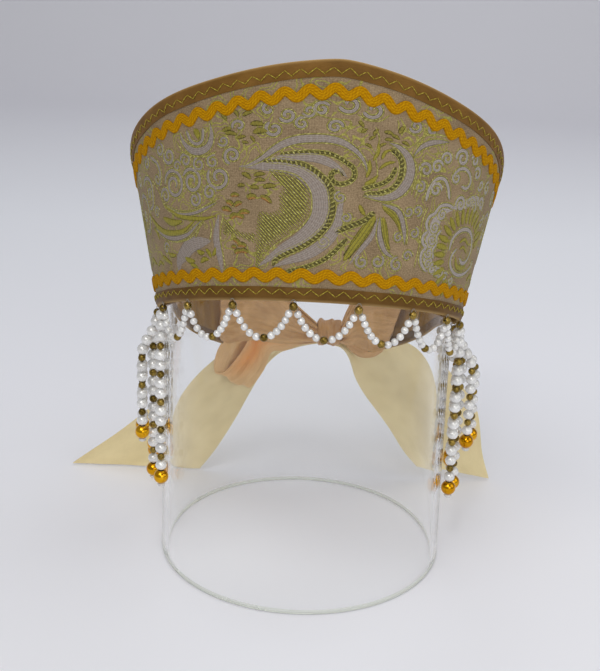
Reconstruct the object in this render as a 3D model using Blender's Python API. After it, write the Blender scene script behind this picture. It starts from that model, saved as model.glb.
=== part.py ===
"""Kokoshnik headdress resting on a clear glass display cylinder.

Metres, +Z up. The cylinder's axis is vertical and the front of the headdress faces -Y.
The headdress is first described in its own frame: an oval ring round the head, an angle
counted from the centre of the front, a height along the ring's own axis and an offset
outward from the band's outer face. That frame then leans back over the cylinder.
"""
import math

import bmesh
import bpy
from mathutils import Matrix, Vector

MM = 0.001
GAP = 0.3 * MM

# Display cylinder: an upturned glass, open at the floor and closed inside the headdress
GLASS_RADIUS = 78.5 * MM
GLASS_FOOT_RADIUS = 80.2 * MM
GLASS_STRAIGHT_FROM = 125.0 * MM
GLASS_HEIGHT = 206.0 * MM
GLASS_WALL = 3.5 * MM
GLASS_TOP = 6.0 * MM
GLASS_EDGE = 1.2 * MM
GLASS_SIDES = 36

# Oval ring of the headdress and the way it leans
RING_HALF_WIDTH = 82.3 * MM
RING_HALF_DEPTH = 95.0 * MM
RING_FRONT = Vector((0.5, -87.5, 175.4)) * MM
LEAN_BACK = math.radians(22.7)
LEAN_SIDE = math.radians(0.84)
TURN = math.radians(4.9)
FLARE = math.tan(math.radians(12.9))
LEFT_RISE = 2.4 * MM
WING_END = 145.0
PEAK_SOFTNESS = 3.0
RINGS_ROUND = 36

# Height of the top edge and drop of the lower edge, by angle from the centre of the front
#          angle  height  drop
BAND_SHAPE = ((0.0, 109.4, 0.0),
              (12.0, 106.2, 0.0),
              (30.0, 100.6, 0.0),
              (50.0, 94.8, 0.0),
              (68.0, 88.0, 0.0),
              (84.0, 81.6, 0.0),
              (100.0, 75.5, 0.6),
              (115.0, 68.5, 6.0),
              (130.0, 58.5, 11.5),
              (145.0, 45.0, 15.5))

# Thickness of the band and its bindings, and what their edges are worth
WALL = 1.2 * MM
LEG = 1.0 * MM
PROUD = 0.6 * MM
TOP_BINDING_WIDTH = 8.0 * MM
BOTTOM_BINDING_WIDTH = 6.6 * MM
WALL_OUTER = PROUD - LEG - GAP
WALL_INNER = WALL_OUTER - WALL
LEG_INNER = WALL_INNER - GAP - LEG
EDGE_INSET = LEG + GAP
MID_OFFSET = 0.5 * (PROUD + LEG_INNER)
WALL_WAIST = 0.8 * MM

# Rickrack trimming
RICKRACK_TAPE = 4.6 * MM
RICKRACK_THICK = 1.1 * MM
RICKRACK_STEPS = 4
RICKRACK_END = 143.0
UPPER_PERIOD = 11.8 * MM
UPPER_SWING = 1.95 * MM
UPPER_BELOW_TOP = 14.3 * MM
LOWER_PERIOD = 11.8 * MM
LOWER_SWING = 1.35 * MM
LOWER_ABOVE_EDGE = 11.9 * MM

# Beads
EDGE_BEAD_RADIUS = 2.15 * MM
EDGE_BEAD_OFFSET = -0.3 * MM
BEAD_SIDES = 10
BEAD_BANDS = 4
ANCHOR_SPACING = 31.25 * MM
SWAG_COUNT = 7
SWAG_RADIUS = 1.9 * MM
SWAG_LENGTH = 39.5 * MM
SWAG_SIDE_STEP = 2.25 * MM
SWAG_DROP = 1.7 * MM
SWAG_POINTS = 8
PEARL_PITCH = 5.85 * MM
SPACER_PITCH = 4.2 * MM
BEAD_FILL = 0.49
BALL_RADIUS = 3.85 * MM
TOP_PEARLS = 3
STRAND_SWING = 22.0 * MM
STRAND_LEAN = 0.04
SWING_STEPS = 2
TUBE_WAIST = 0.96

# Beads on the lower edge that carry the side strands, behind the last swag bead
PENDANT_ANGLES = {-1: (-92.5, -100.3, -108.1), 1: (84.0, 91.8, 99.6)}

# Side strands: side is -1 on the left, bead is 0 for the last swag bead, along is the
# strand's place under its bead in mm, x, y and ball place its gold ball in mm
#            name            side bead along   x      y     ball  groups
STRANDS = (("long_front", -1, 0, 2.9, -76.6, -34.5, 55.0, 5),
           ("short_front", -1, 1, -3.0, -90.6, -7.0, 68.6, 3),
           ("long_rear", -1, 1, 3.0, -85.4, -0.5, 42.6, 5),
           ("short_rear", -1, 2, -3.0, -92.4, 6.5, 66.8, 3),
           ("middle_front", -1, 2, 3.0, -86.6, 12.0, 52.6, 4),
           ("middle_rear", -1, 3, 0.0, -87.6, 21.5, 44.2, 4),
           ("long_front", 1, 0, 2.9, 81.5, -22.0, 48.6, 5),
           ("short_front", 1, 1, -3.0, 91.4, -6.5, 70.2, 3),
           ("long_rear", 1, 1, 3.0, 86.6, 0.5, 41.0, 5),
           ("short_rear", 1, 2, -3.0, 95.6, 7.5, 68.2, 3),
           ("middle_front", 1, 2, 3.0, 85.6, 12.0, 52.0, 4),
           ("middle_rear", 1, 3, 0.0, 86.8, 21.5, 45.0, 4))

# Satin ribbon, gathered at the knot behind the cylinder
RIBBON_THICK = 1.2 * MM
RIBBON_ACROSS = 6
KNOT = Vector((14.0, 90.0, 98.0)) * MM
#               along  radius_y  radius_z
KNOT_SHAPE = ((-8.0, 5.4, 6.6),
              (-6.4, 7.4, 8.6),
              (-2.2, 6.6, 7.9),
              (2.4, 7.2, 8.4),
              (6.6, 7.0, 8.2),
              (8.0, 5.2, 6.4))
KNOT_HALF = 8.0 * MM
KNOT_SIDES = 10

# Ties from the insides of the wing ends to the knot, worked out round the cylinder
TIE_LAP = {-1: 5.5, 1: 22.0}
# How far the sewn end of a tie leans, top toward the wing, as a share of the height
TIE_LEAN = {-1: 0.0, 1: 0.35}
#            share  radius  centre_z  half_width  fold
TIE_LEFT = ((0.0, 80.1, 122.0, 24.0, 0.0),
            (0.16, 80.3, 121.0, 23.5, 0.1),
            (0.34, 81.8, 119.0, 22.0, 0.6),
            (0.58, 82.8, 112.0, 18.5, 0.8),
            (0.8, 83.4, 104.5, 13.0, 0.8),
            (1.0, 86.0, 98.5, 6.4, 0.3))
TIE_RIGHT = ((0.0, 80.0, 120.0, 24.0, 0.0),
             (0.24, 80.1, 119.3, 24.2, 0.0),
             (0.48, 80.2, 118.5, 24.5, 0.1),
             (0.62, 82.2, 117.0, 23.5, 0.6),
             (0.76, 83.6, 112.5, 18.5, 0.8),
             (0.89, 85.4, 105.0, 12.5, 0.8),
             (1.0, 88.5, 98.5, 6.4, 0.3))

# Bow loops and tails: centre of each section, half its width, the turn of the ribbon in
# the upright plane (0 stands on edge, 90 lies level) and the depth of its folds
#             x      y     z     half   turn  fold
LOOP_LEFT = ((5.4, 88.2, 99.1, 5.6, 2.0, 0.3),
             (-6.5, 88.2, 98.9, 9.8, 20.0, 0.6),
             (-20.8, 87.4, 97.2, 13.4, 29.0, 0.8),
             (-29.5, 86.6, 93.1, 11.5, 38.0, 0.8),
             (-33.0, 86.2, 81.3, 10.6, 34.0, 0.6),
             (-42.5, 86.4, 66.8, 9.9, 54.0, 0.3),
             (-48.0, 88.2, 63.4, 11.3, 65.0, 0.1),
             (-48.3, 90.8, 65.7, 14.2, 65.0, 0.3),
             (-44.7, 92.2, 74.9, 15.9, 63.0, 0.6),
             (-39.2, 93.2, 86.0, 14.0, 60.0, 0.8),
             (-29.8, 93.6, 93.0, 12.3, 47.0, 0.8),
             (-9.7, 93.0, 97.2, 10.0, 32.0, 0.6),
             (5.4, 91.6, 97.0, 4.4, 2.0, 0.3))
LOOP_RIGHT = ((22.6, 88.2, 98.9, 5.6, 2.0, 0.3),
              (28.0, 89.0, 97.6, 11.0, 0.0, 0.8),
              (35.5, 90.0, 95.8, 13.4, -2.0, 1.0),
              (44.0, 91.2, 95.2, 13.0, -6.0, 0.8),
              (50.5, 92.4, 96.0, 11.5, -10.0, 0.3),
              (52.0, 94.4, 96.4, 11.0, -10.0, 0.1),
              (49.5, 96.0, 96.6, 11.0, -10.0, 0.3),
              (42.0, 96.4, 97.5, 10.0, -6.0, 0.8),
              (33.0, 95.2, 98.6, 8.5, -2.0, 0.6),
              (22.6, 92.4, 99.2, 5.2, 2.0, 0.3))
TAIL_LEFT = ((10.0, 96.8, 91.0, 3.0, 50.0, 0.2),
             (-3.0, 98.6, 90.4, 5.6, 38.0, 0.8),
             (-13.0, 99.3, 88.8, 7.4, 36.0, 1.2),
             (-24.9, 99.5, 85.4, 9.5, 44.0, 1.6),
             (-38.8, 98.5, 76.3, 14.0, 68.0, 1.8),
             (-54.8, 96.5, 59.1, 20.1, 79.0, 1.6),
             (-71.3, 94.0, 38.8, 25.5, 80.0, 1.2),
             (-90.4, 90.0, 18.4, 31.9, 84.0, 0.6),
             (-110.5, 86.5, 1.2, 39.7, 90.0, 0.0))
TAIL_RIGHT = ((17.6, 96.2, 91.0, 3.0, -50.0, 0.2),
              (26.5, 99.4, 90.0, 6.2, -40.0, 0.7),
              (36.6, 101.4, 85.2, 11.4, -49.0, 1.0),
              (54.1, 101.2, 74.1, 23.4, -63.0, 1.6),
              (72.0, 98.6, 55.1, 29.1, -77.0, 1.6),
              (84.5, 94.0, 39.3, 28.0, -77.0, 1.2),
              (93.0, 90.5, 18.1, 23.8, -89.0, 0.6),
              (101.1, 87.5, 4.8, 21.3, -100.0, 0.0))

# Colours read from the object: name, colour, roughness, metallic
FINISHES = {
    "clear_glass": ((0.92, 0.94, 0.94), 0.04, 0.0),
    "brocade": ((0.38, 0.30, 0.21), 0.6, 0.1),
    "satin_binding": ((0.22, 0.11, 0.03), 0.4, 0.0),
    "yellow_rickrack": ((0.70, 0.32, 0.01), 0.7, 0.0),
    "pearl": ((0.80, 0.79, 0.76), 0.25, 0.0),
    "bronze": ((0.22, 0.13, 0.03), 0.3, 1.0),
    "cream_ribbon": ((0.70, 0.55, 0.33), 0.45, 0.0),
}


def clear_scene():
    for item in list(bpy.data.objects):
        bpy.data.objects.remove(item, do_unlink=True)


def finish(name):
    """Principled material for one of the finishes."""
    found = bpy.data.materials.get(name)
    if found:
        return found
    colour, roughness, metallic = FINISHES[name]
    made = bpy.data.materials.new(name)
    made.use_nodes = True
    shader = made.node_tree.nodes["Principled BSDF"]
    shader.inputs["Base Color"].default_value = (*colour, 1.0)
    shader.inputs["Roughness"].default_value = roughness
    shader.inputs["Metallic"].default_value = metallic
    if name == "clear_glass":
        shader.inputs["Transmission Weight"].default_value = 1.0
        shader.inputs["IOR"].default_value = 1.5
    return made


def add_mesh(name, bm, finish_name, smooth_angle=35.0):
    """Turn a bmesh into a named object with its own material."""
    bmesh.ops.recalc_face_normals(bm, faces=bm.faces)
    mesh = bpy.data.meshes.new(name)
    bm.to_mesh(mesh)
    bm.free()
    mesh.shade_smooth()
    mesh.set_sharp_from_angle(angle=math.radians(smooth_angle))
    thing = bpy.data.objects.new(name, mesh)
    thing.data.materials.append(finish(finish_name))
    bpy.context.scene.collection.objects.link(thing)
    return thing


def loft(name, rings, finish_name, smooth_angle=35.0):
    """Closed solid through rings of points, each ring with the same count of points."""
    bm = bmesh.new()
    made = [[bm.verts.new(point) for point in ring] for ring in rings]
    count = len(rings[0])
    for ring, following in zip(made, made[1:]):
        for index in range(count):
            after = (index + 1) % count
            bm.faces.new((ring[index], ring[after], following[after], following[index]))
    bm.faces.new(made[0])
    bm.faces.new(made[-1])
    return add_mesh(name, bm, finish_name, smooth_angle)


def blend(rows, column, where, key=0):
    """Value of a table's column at a place along its key, on a smooth curve."""
    keys = [row[key] for row in rows]
    values = [row[column] for row in rows]
    where = min(max(where, keys[0]), keys[-1])
    last = len(keys) - 2
    index = min(max(sum(1 for k in keys if k <= where) - 1, 0), last)
    slopes = [(values[i + 1] - values[i]) / (keys[i + 1] - keys[i]) for i in range(last + 1)]

    def tangent(i):
        if i == 0:
            return slopes[0]
        if i == last + 1:
            return slopes[last]
        before, after = slopes[i - 1], slopes[i]
        if before * after <= 0.0:
            return 0.0
        return 2.0 * before * after / (before + after)

    span = keys[index + 1] - keys[index]
    t = (where - keys[index]) / span
    start, end = values[index], values[index + 1]
    return ((2 * t ** 3 - 3 * t ** 2 + 1) * start + (t ** 3 - 2 * t ** 2 + t) * span * tangent(index)
            + (3 * t ** 2 - 2 * t ** 3) * end + (t ** 3 - t ** 2) * span * tangent(index + 1))


def headdress_frame():
    """Matrix from the headdress's own frame to the world."""
    centre = Vector((0.0, RING_HALF_DEPTH, 0.0))
    return (Matrix.Translation(RING_FRONT)
            @ Matrix.Rotation(LEAN_SIDE, 4, "Y")
            @ Matrix.Rotation(-LEAN_BACK, 4, "X")
            @ Matrix.Translation(centre)
            @ Matrix.Rotation(TURN, 4, "Z"))


FRAME = headdress_frame()
AXIS = (FRAME.to_3x3() @ Vector((0.0, 0.0, 1.0))).normalized()


def on_band(angle, height, offset):
    """World point at an angle in degrees, a height along the ring's axis and an offset.

    Below the ring's plane the band hangs straight down, as the wings do behind the ears.
    """
    around = math.radians(angle)
    normal = Vector((math.sin(around) / RING_HALF_WIDTH, -math.cos(around) / RING_HALF_DEPTH, 0.0))
    normal.normalize()
    out = max(height, 0.0) * FLARE + offset
    local = Vector((RING_HALF_WIDTH * math.sin(around), -RING_HALF_DEPTH * math.cos(around), 0.0))
    local += normal * out
    local.z = max(height, 0.0)
    return FRAME @ local + Vector((0.0, 0.0, min(height, 0.0)))


def top_height(angle):
    """Height of the top edge, a little higher on the left, with a soft peak at the front."""
    soft = math.hypot(angle, PEAK_SOFTNESS) - PEAK_SOFTNESS
    side = math.sin(math.radians(max(-90.0, min(90.0, angle))))
    return blend(BAND_SHAPE, 1, soft) * MM - LEFT_RISE * side


def low_height(angle):
    """Height of the lower edge: level at the front and dropping on the wings."""
    return -blend(BAND_SHAPE, 2, abs(angle)) * MM


def arc_angle(distance):
    """Angle in degrees at a distance along the ring from the centre of the front."""
    step = math.radians(0.25)
    around = 0.0
    gone = 0.0
    while gone < abs(distance):
        speed = math.hypot(RING_HALF_WIDTH * math.cos(around), RING_HALF_DEPTH * math.sin(around))
        gone += speed * step
        around += step
    return math.copysign(math.degrees(around), distance)


def steps(start, end, count):
    return [start + (end - start) * index / count for index in range(count + 1)]


def glass_cylinder():
    bm = bmesh.new()
    foot = GLASS_FOOT_RADIUS
    inner = GLASS_RADIUS - GLASS_WALL
    profile = ((0.0, GLASS_HEIGHT),
               (GLASS_RADIUS - GLASS_EDGE, GLASS_HEIGHT),
               (GLASS_RADIUS, GLASS_HEIGHT - GLASS_EDGE),
               (GLASS_RADIUS, GLASS_STRAIGHT_FROM),
               (foot, GLASS_EDGE),
               (foot - GLASS_EDGE, 0.0),
               (foot - GLASS_WALL, 0.0),
               (inner, GLASS_STRAIGHT_FROM),
               (inner, GLASS_HEIGHT - GLASS_TOP),
               (0.0, GLASS_HEIGHT - GLASS_TOP))
    points = [bm.verts.new((radius, 0.0, height)) for radius, height in profile]
    edges = [bm.edges.new(pair) for pair in zip(points, points[1:])]
    bmesh.ops.spin(bm, geom=points + edges, cent=(0, 0, 0), axis=(0, 0, 1),
                   angle=2 * math.pi, steps=GLASS_SIDES, use_merge=True)
    bmesh.ops.remove_doubles(bm, verts=bm.verts, dist=0.01 * MM)
    add_mesh("glass_cylinder", bm, "clear_glass")


def crown_band():
    """Stiffened brocade wall of the headdress between its two bound edges."""
    rings = []
    for angle in steps(-WING_END, WING_END, RINGS_ROUND):
        low = low_height(angle)
        bound = low + BOTTOM_BINDING_WIDTH
        knee = 0.0 if bound < 0.0 else bound + WALL_WAIST
        heights = (low + EDGE_INSET, bound, knee, top_height(angle) - EDGE_INSET)
        outer = [on_band(angle, height, WALL_OUTER) for height in heights]
        inner = [on_band(angle, height, WALL_INNER) for height in reversed(heights)]
        rings.append(outer + inner)
    loft("crown_band", rings, "brocade")


def binding(name, edge_height, direction, width):
    """Satin binding folded over an edge: direction is 1 where it opens upward."""
    rings = []
    for angle in steps(-WING_END, WING_END, RINGS_ROUND):
        edge = edge_height(angle)
        profile = ((PROUD, width), (PROUD, 0.45 * LEG), (PROUD - 0.45 * LEG, 0.0),
                   (LEG_INNER + 0.45 * LEG, 0.0), (LEG_INNER, 0.45 * LEG), (LEG_INNER, width),
                   (WALL_INNER - GAP, width), (WALL_INNER - GAP, LEG),
                   (WALL_OUTER + GAP, LEG), (WALL_OUTER + GAP, width))
        rings.append([on_band(angle, edge + direction * rise, offset) for offset, rise in profile])
    loft(name, rings, "satin_binding")


def upper_height(angle):
    return top_height(angle) - UPPER_BELOW_TOP


def lower_height(angle):
    return low_height(angle) + LOWER_ABOVE_EDGE


def even_angles(height, spacing):
    """Angles evenly spaced round the band at a height, from one wing to the other."""
    fine = steps(-RICKRACK_END, RICKRACK_END, 286)
    points = [on_band(angle, height(angle), 0.0) for angle in fine]
    lengths = [0.0]
    for point, following in zip(points, points[1:]):
        lengths.append(lengths[-1] + (following - point).length)
    count = round(lengths[-1] / spacing)
    angles = []
    for wanted in steps(0.0, lengths[-1], count):
        index = min(max(sum(1 for l in lengths if l <= wanted), 1), len(lengths) - 1)
        share = (wanted - lengths[index - 1]) / (lengths[index] - lengths[index - 1])
        angles.append(fine[index - 1] + share * (fine[index] - fine[index - 1]))
    return angles


def rickrack(name, height, period, swing):
    """Wavy braid sewn flat on the band."""
    inner = WALL_OUTER + GAP
    outer = inner + RICKRACK_THICK
    half = 0.5 * RICKRACK_TAPE
    angles = even_angles(height, period / RICKRACK_STEPS)
    rings = []
    for index, angle in enumerate(angles):
        phase = 2.0 * math.pi * index / RICKRACK_STEPS
        centre = height(angle) + swing * math.sin(phase)
        lean = math.atan(2.0 * math.pi * swing / period * math.cos(phase))
        here = on_band(angle, centre, inner)
        degree = (on_band(angle + 1.0, centre, inner) - here).length
        shift = half * math.sin(lean) / degree
        rise = half * math.cos(lean)
        rings.append([on_band(angle - shift, centre + rise, inner),
                      on_band(angle - shift, centre + rise, outer),
                      on_band(angle + shift, centre - rise, outer),
                      on_band(angle + shift, centre - rise, inner)])
    loft(name, rings, "yellow_rickrack")


def edge_bead_centre(angle):
    """Centre of a bead sewn under the lower edge."""
    edge = on_band(angle, low_height(angle), EDGE_BEAD_OFFSET)
    return edge - AXIS * (EDGE_BEAD_RADIUS + GAP)


def round_bead(name, centre, radius, finish_name):
    bm = bmesh.new()
    bmesh.ops.create_uvsphere(bm, u_segments=BEAD_SIDES, v_segments=BEAD_BANDS, radius=radius)
    bmesh.ops.translate(bm, verts=bm.verts, vec=centre)
    add_mesh(name, bm, finish_name, 60.0)


def tube(name, points, radii, finish_name, sides_setting):
    """Round solid along points, with its own radius at each point and closed ends."""
    curve = bpy.data.curves.new(name, "CURVE")
    curve.dimensions = "3D"
    curve.bevel_depth = MM
    curve.bevel_resolution = sides_setting
    curve.use_fill_caps = True
    curve.twist_mode = "Z_UP"
    spline = curve.splines.new("POLY")
    spline.points.add(len(points) - 1)
    for target, point, radius in zip(spline.points, points, radii):
        target.co = (*point, 1.0)
        target.radius = radius / MM
    curve.materials.append(finish(finish_name))
    thing = bpy.data.objects.new(name, curve)
    bpy.context.scene.collection.objects.link(thing)
    return thing


def catenary_sag(span, length):
    """Parameter of the hanging curve of a given span and length."""
    low, high = span / 20.0, span * 20.0
    for _ in range(60):
        middle = 0.5 * (low + high)
        if 2.0 * middle * math.sinh(span / (2.0 * middle)) > length:
            low = middle
        else:
            high = middle
    return high


def swag_path(start_angle, end_angle):
    """Hanging curve between two edge beads, held clear of the glass."""
    ends = []
    for angle, toward in ((start_angle, 1.0), (end_angle, -1.0)):
        centre = edge_bead_centre(angle)
        other = edge_bead_centre(end_angle if toward > 0 else start_angle)
        level = Vector((other.x - centre.x, other.y - centre.y, 0.0)).normalized()
        ends.append(centre + level * SWAG_SIDE_STEP - Vector((0.0, 0.0, SWAG_DROP)))
    first, last = ends
    span = Vector((last.x - first.x, last.y - first.y, 0.0)).length
    sag = catenary_sag(span, SWAG_LENGTH)
    points = []
    for share in steps(-1.0, 1.0, SWAG_POINTS - 1):
        across = math.copysign(abs(share) ** 0.8, share)
        point = first.lerp(last, 0.5 * (across + 1.0))
        point.z += sag * (math.cosh(across * span / (2.0 * sag)) - math.cosh(span / (2.0 * sag)))
        clear = GLASS_RADIUS + SWAG_RADIUS + 2.0 * GAP
        radius = math.hypot(point.x, point.y)
        if radius < clear:
            point.x *= clear / radius
            point.y *= clear / radius
        points.append(point)
    return points


def anchor_angle(index):
    """Angle of one of the beads that carry the swags."""
    return arc_angle((index - 0.5 * SWAG_COUNT) * ANCHOR_SPACING)


def swags():
    """Swags of small pearls between beads on the lower edge."""
    angles = [anchor_angle(index) for index in range(SWAG_COUNT + 1)]
    for index, angle in enumerate(angles):
        name = "edge_bead_%d" % (index + 1)
        round_bead(name, edge_bead_centre(angle), EDGE_BEAD_RADIUS, "bronze")
    for index, pair in enumerate(zip(angles, angles[1:])):
        points = swag_path(*pair)
        radii = [SWAG_RADIUS] * len(points)
        tube("pearl_swag_%d" % (index + 1), points, radii, "pearl", 2)


def strand_path(side, bead, along, x, y, ball):
    """Fine points from the top of a strand to its gold ball, and the lengths to them."""
    angle = PENDANT_ANGLES[side][bead - 1] if bead else anchor_angle(0 if side < 0 else SWAG_COUNT)
    centre = edge_bead_centre(angle)
    behind = edge_bead_centre(angle + side)
    level = Vector((behind.x - centre.x, behind.y - centre.y, 0.0)).normalized()
    apart = EDGE_BEAD_RADIUS + BEAD_FILL * PEARL_PITCH + GAP
    fall = math.sqrt(apart ** 2 - (along * MM) ** 2) - 0.5 * PEARL_PITCH
    start = centre + level * (along * MM) - Vector((0.0, 0.0, fall))
    clear = GLASS_RADIUS + 0.5 * PEARL_PITCH + GAP
    radius = math.hypot(start.x, start.y)
    if radius < clear:
        start.x *= clear / radius
        start.y *= clear / radius
    points = []
    lengths = [0.0]
    for share in steps(0.0, 1.0, 120):
        drop = share * (start.z - ball * MM)
        ease = min(drop / STRAND_SWING, 1.0)
        ease = ease * ease * (3.0 - 2.0 * ease)
        ease += STRAND_LEAN * (share - ease)
        points.append(Vector((start.x + (x * MM - start.x) * ease,
                              start.y + (y * MM - start.y) * ease,
                              start.z - drop)))
        if len(points) > 1:
            lengths.append(lengths[-1] + (points[-1] - points[-2]).length)
    return points, lengths


def along_path(points, lengths, length):
    """Point at a length along a path."""
    index = min(max(sum(1 for l in lengths if l <= length), 1), len(lengths) - 1)
    share = (length - lengths[index - 1]) / (lengths[index] - lengths[index - 1])
    return points[index - 1].lerp(points[index], share)


def strand_beads(total, groups):
    """Pitches from the top of a strand to its gold ball: pearls, then bronze and pearls."""
    top = TOP_PEARLS
    while True:
        pitches = [PEARL_PITCH] * top
        for group in range(groups):
            pearls = 1 if group == groups - 1 else 2
            pitches += [SPACER_PITCH] + [PEARL_PITCH] * pearls
        fit = total / (sum(pitches) + BALL_RADIUS)
        if fit < 1.035:
            return [pitch * fit for pitch in pitches]
        top += 1


def strand_profile(total, groups, beaded):
    """Lengths and radii from the top of a strand to the underside of its gold ball."""
    pitches = strand_beads(total, groups)
    radius = BEAD_FILL * PEARL_PITCH
    if beaded:
        at = 0.0
        pairs = [(0.05 * pitches[0], 0.5 * radius)]
        for pitch in pitches:
            pairs.append((at + 0.25 * pitch, 0.94 * BEAD_FILL * pitch))
            pairs.append((at + 0.75 * pitch, 0.94 * BEAD_FILL * pitch))
            pairs.append((at + pitch, 0.45 * BEAD_FILL * pitch))
            at += pitch
    else:
        end = sum(pitches)
        pairs = [(0.05 * PEARL_PITCH, 0.5 * radius)]
        pairs += [(length, radius) for length in steps(0.3 * PEARL_PITCH, STRAND_SWING, SWING_STEPS)]
        pairs += [(0.5 * (STRAND_SWING + end), TUBE_WAIST * radius), (end, radius)]
    for turn in (-45.0, 0.0, 50.0):
        tilt = math.radians(turn)
        pairs.append((total + BALL_RADIUS * math.sin(tilt), BALL_RADIUS * math.cos(tilt)))
    return pairs


def side_strands():
    """Hanging strands of larger pearls, each ending in a gold ball."""
    for side, label in ((-1, "left"), (1, "right")):
        for index, angle in enumerate(PENDANT_ANGLES[side]):
            name = "pendant_bead_%s_%d" % (label, index + 1)
            round_bead(name, edge_bead_centre(angle), EDGE_BEAD_RADIUS, "bronze")
    for name, side, bead, along, x, y, ball, groups in STRANDS:
        points, lengths = strand_path(side, bead, along, x, y, ball)
        total = lengths[-1]
        profile = strand_profile(total, groups, name == "short_front")
        placed = [along_path(points, lengths, min(length, total)) for length, _ in profile]
        for point, (length, _) in zip(placed, profile):
            point.z -= max(length - total, 0.0)
        radii = [radius for _, radius in profile]
        label = "left" if side < 0 else "right"
        tube("strand_%s_%s" % (label, name), placed, radii, "pearl", 3)


def sheet_rings(centres, acrosses, halves, folds):
    """Rings of a thin sheet: both faces of each section, waved by its fold depth."""
    rings = []
    last = len(centres) - 1
    for index, centre in enumerate(centres):
        before = centres[max(index - 1, 0)]
        after = centres[min(index + 1, last)]
        along = (after - before).normalized()
        across = acrosses[index].normalized()
        normal = along.cross(across).normalized()
        front = []
        back = []
        for share in steps(-1.0, 1.0, RIBBON_ACROSS):
            wave = folds[index] * math.sin(math.pi * 1.5 * share)
            point = centre + across * (halves[index] * share) + normal * wave
            front.append(point + normal * (0.5 * RIBBON_THICK))
            back.append(point - normal * (0.5 * RIBBON_THICK))
        rings.append(front + back[::-1])
    return rings


def ribbon(name, rows):
    """Ribbon through a table of sections."""
    centres = [Vector(row[:3]) * MM for row in rows]
    acrosses = []
    for row in rows:
        turn = math.radians(row[4])
        acrosses.append(Vector((-math.sin(turn), 0.0, math.cos(turn))))
    halves = [row[3] * MM for row in rows]
    folds = [row[5] * MM for row in rows]
    loft(name, sheet_rings(centres, acrosses, halves, folds), "cream_ribbon", 60.0)


def tie(name, rows, side):
    """Ribbon from a wing end round the cylinder to the knot."""
    wing = on_band(side * WING_END, 0.0, MID_OFFSET)
    start = math.atan2(wing.x, wing.y)
    knot_edge = KNOT.x + side * (KNOT_HALF + 3.0 * GAP)
    end = math.asin(knot_edge / (rows[-1][1] * MM))
    start += side * TIE_LAP[side] / rows[0][1]
    centres = []
    upright = []
    for share, radius, height, _, _ in rows:
        around = start + (end - start) * share
        centres.append(Vector((radius * math.sin(around), radius * math.cos(around), height)) * MM)
        to_wing = Vector((math.cos(around), -math.sin(around), 0.0)) * side
        lean = TIE_LEAN[side] * max(1.0 - 2.0 * share, 0.0)
        upright.append((Vector((0.0, 0.0, 1.0)) + to_wing * lean).normalized())
    halves = [row[3] * MM for row in rows]
    folds = [row[4] * MM for row in rows]
    loft(name, sheet_rings(centres, upright, halves, folds), "cream_ribbon", 60.0)


def bow_knot():
    rings = []
    for along, radius_y, radius_z in KNOT_SHAPE:
        ring = []
        for index in range(KNOT_SIDES):
            around = 2.0 * math.pi * index / KNOT_SIDES
            ring.append(KNOT + Vector((along, radius_y * math.cos(around),
                                       radius_z * math.sin(around))) * MM)
        rings.append(ring)
    loft("bow_knot", rings, "cream_ribbon", 60.0)


def centre_on_floor():
    """Bring the whole object's box to stand over the origin."""
    bpy.context.view_layer.update()
    graph = bpy.context.evaluated_depsgraph_get()
    corners = []
    for thing in bpy.context.scene.objects:
        seen = thing.evaluated_get(graph)
        corners += [thing.matrix_world @ vertex.co for vertex in seen.to_mesh().vertices]
        seen.to_mesh_clear()
    shift = [-0.5 * (min(c[axis] for c in corners) + max(c[axis] for c in corners)) for axis in (0, 1)]
    shift.append(-min(c.z for c in corners))
    for thing in bpy.context.scene.objects:
        thing.location += Vector(shift)


def build():
    clear_scene()
    glass_cylinder()
    crown_band()
    binding("top_binding", top_height, -1.0, TOP_BINDING_WIDTH)
    binding("bottom_binding", low_height, 1.0, BOTTOM_BINDING_WIDTH)
    rickrack("upper_rickrack", upper_height, UPPER_PERIOD, UPPER_SWING)
    rickrack("lower_rickrack", lower_height, LOWER_PERIOD, LOWER_SWING)
    swags()
    side_strands()
    tie("ribbon_tie_left", TIE_LEFT, -1)
    tie("ribbon_tie_right", TIE_RIGHT, 1)
    bow_knot()
    ribbon("bow_loop_left", LOOP_LEFT)
    ribbon("bow_loop_right", LOOP_RIGHT)
    ribbon("ribbon_tail_left", TAIL_LEFT)
    ribbon("ribbon_tail_right", TAIL_RIGHT)
    centre_on_floor()


build()
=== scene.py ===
"""Looks of the kokoshnik headdress and of the glass cylinder that it rests on.

Metres, +Z up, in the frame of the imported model. The headdress is drawn from the same driving
dimensions as its solids: an oval ring, an angle counted from the centre of the front, a height
along the ring's own axis and an offset outward from the band. Charts of the brocade count
millimetres along the ring and above the lower edge.
"""
import math

import bpy
import numpy as np
from mathutils import Matrix, Vector


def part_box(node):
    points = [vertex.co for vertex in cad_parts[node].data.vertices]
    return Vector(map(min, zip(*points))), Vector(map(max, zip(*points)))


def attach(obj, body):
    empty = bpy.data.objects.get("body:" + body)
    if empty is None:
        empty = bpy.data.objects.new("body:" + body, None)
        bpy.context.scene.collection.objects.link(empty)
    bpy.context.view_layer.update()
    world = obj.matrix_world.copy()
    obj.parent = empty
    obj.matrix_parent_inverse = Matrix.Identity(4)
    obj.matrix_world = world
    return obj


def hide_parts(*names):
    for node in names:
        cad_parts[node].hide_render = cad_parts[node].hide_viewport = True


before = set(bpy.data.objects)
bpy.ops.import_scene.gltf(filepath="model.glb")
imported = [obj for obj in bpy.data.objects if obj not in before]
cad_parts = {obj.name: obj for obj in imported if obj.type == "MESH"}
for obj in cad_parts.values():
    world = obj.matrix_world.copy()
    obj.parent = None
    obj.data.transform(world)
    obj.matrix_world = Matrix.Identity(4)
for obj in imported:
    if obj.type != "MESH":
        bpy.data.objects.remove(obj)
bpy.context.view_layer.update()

MM = 0.001
RANDOM = np.random.default_rng(7)

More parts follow.
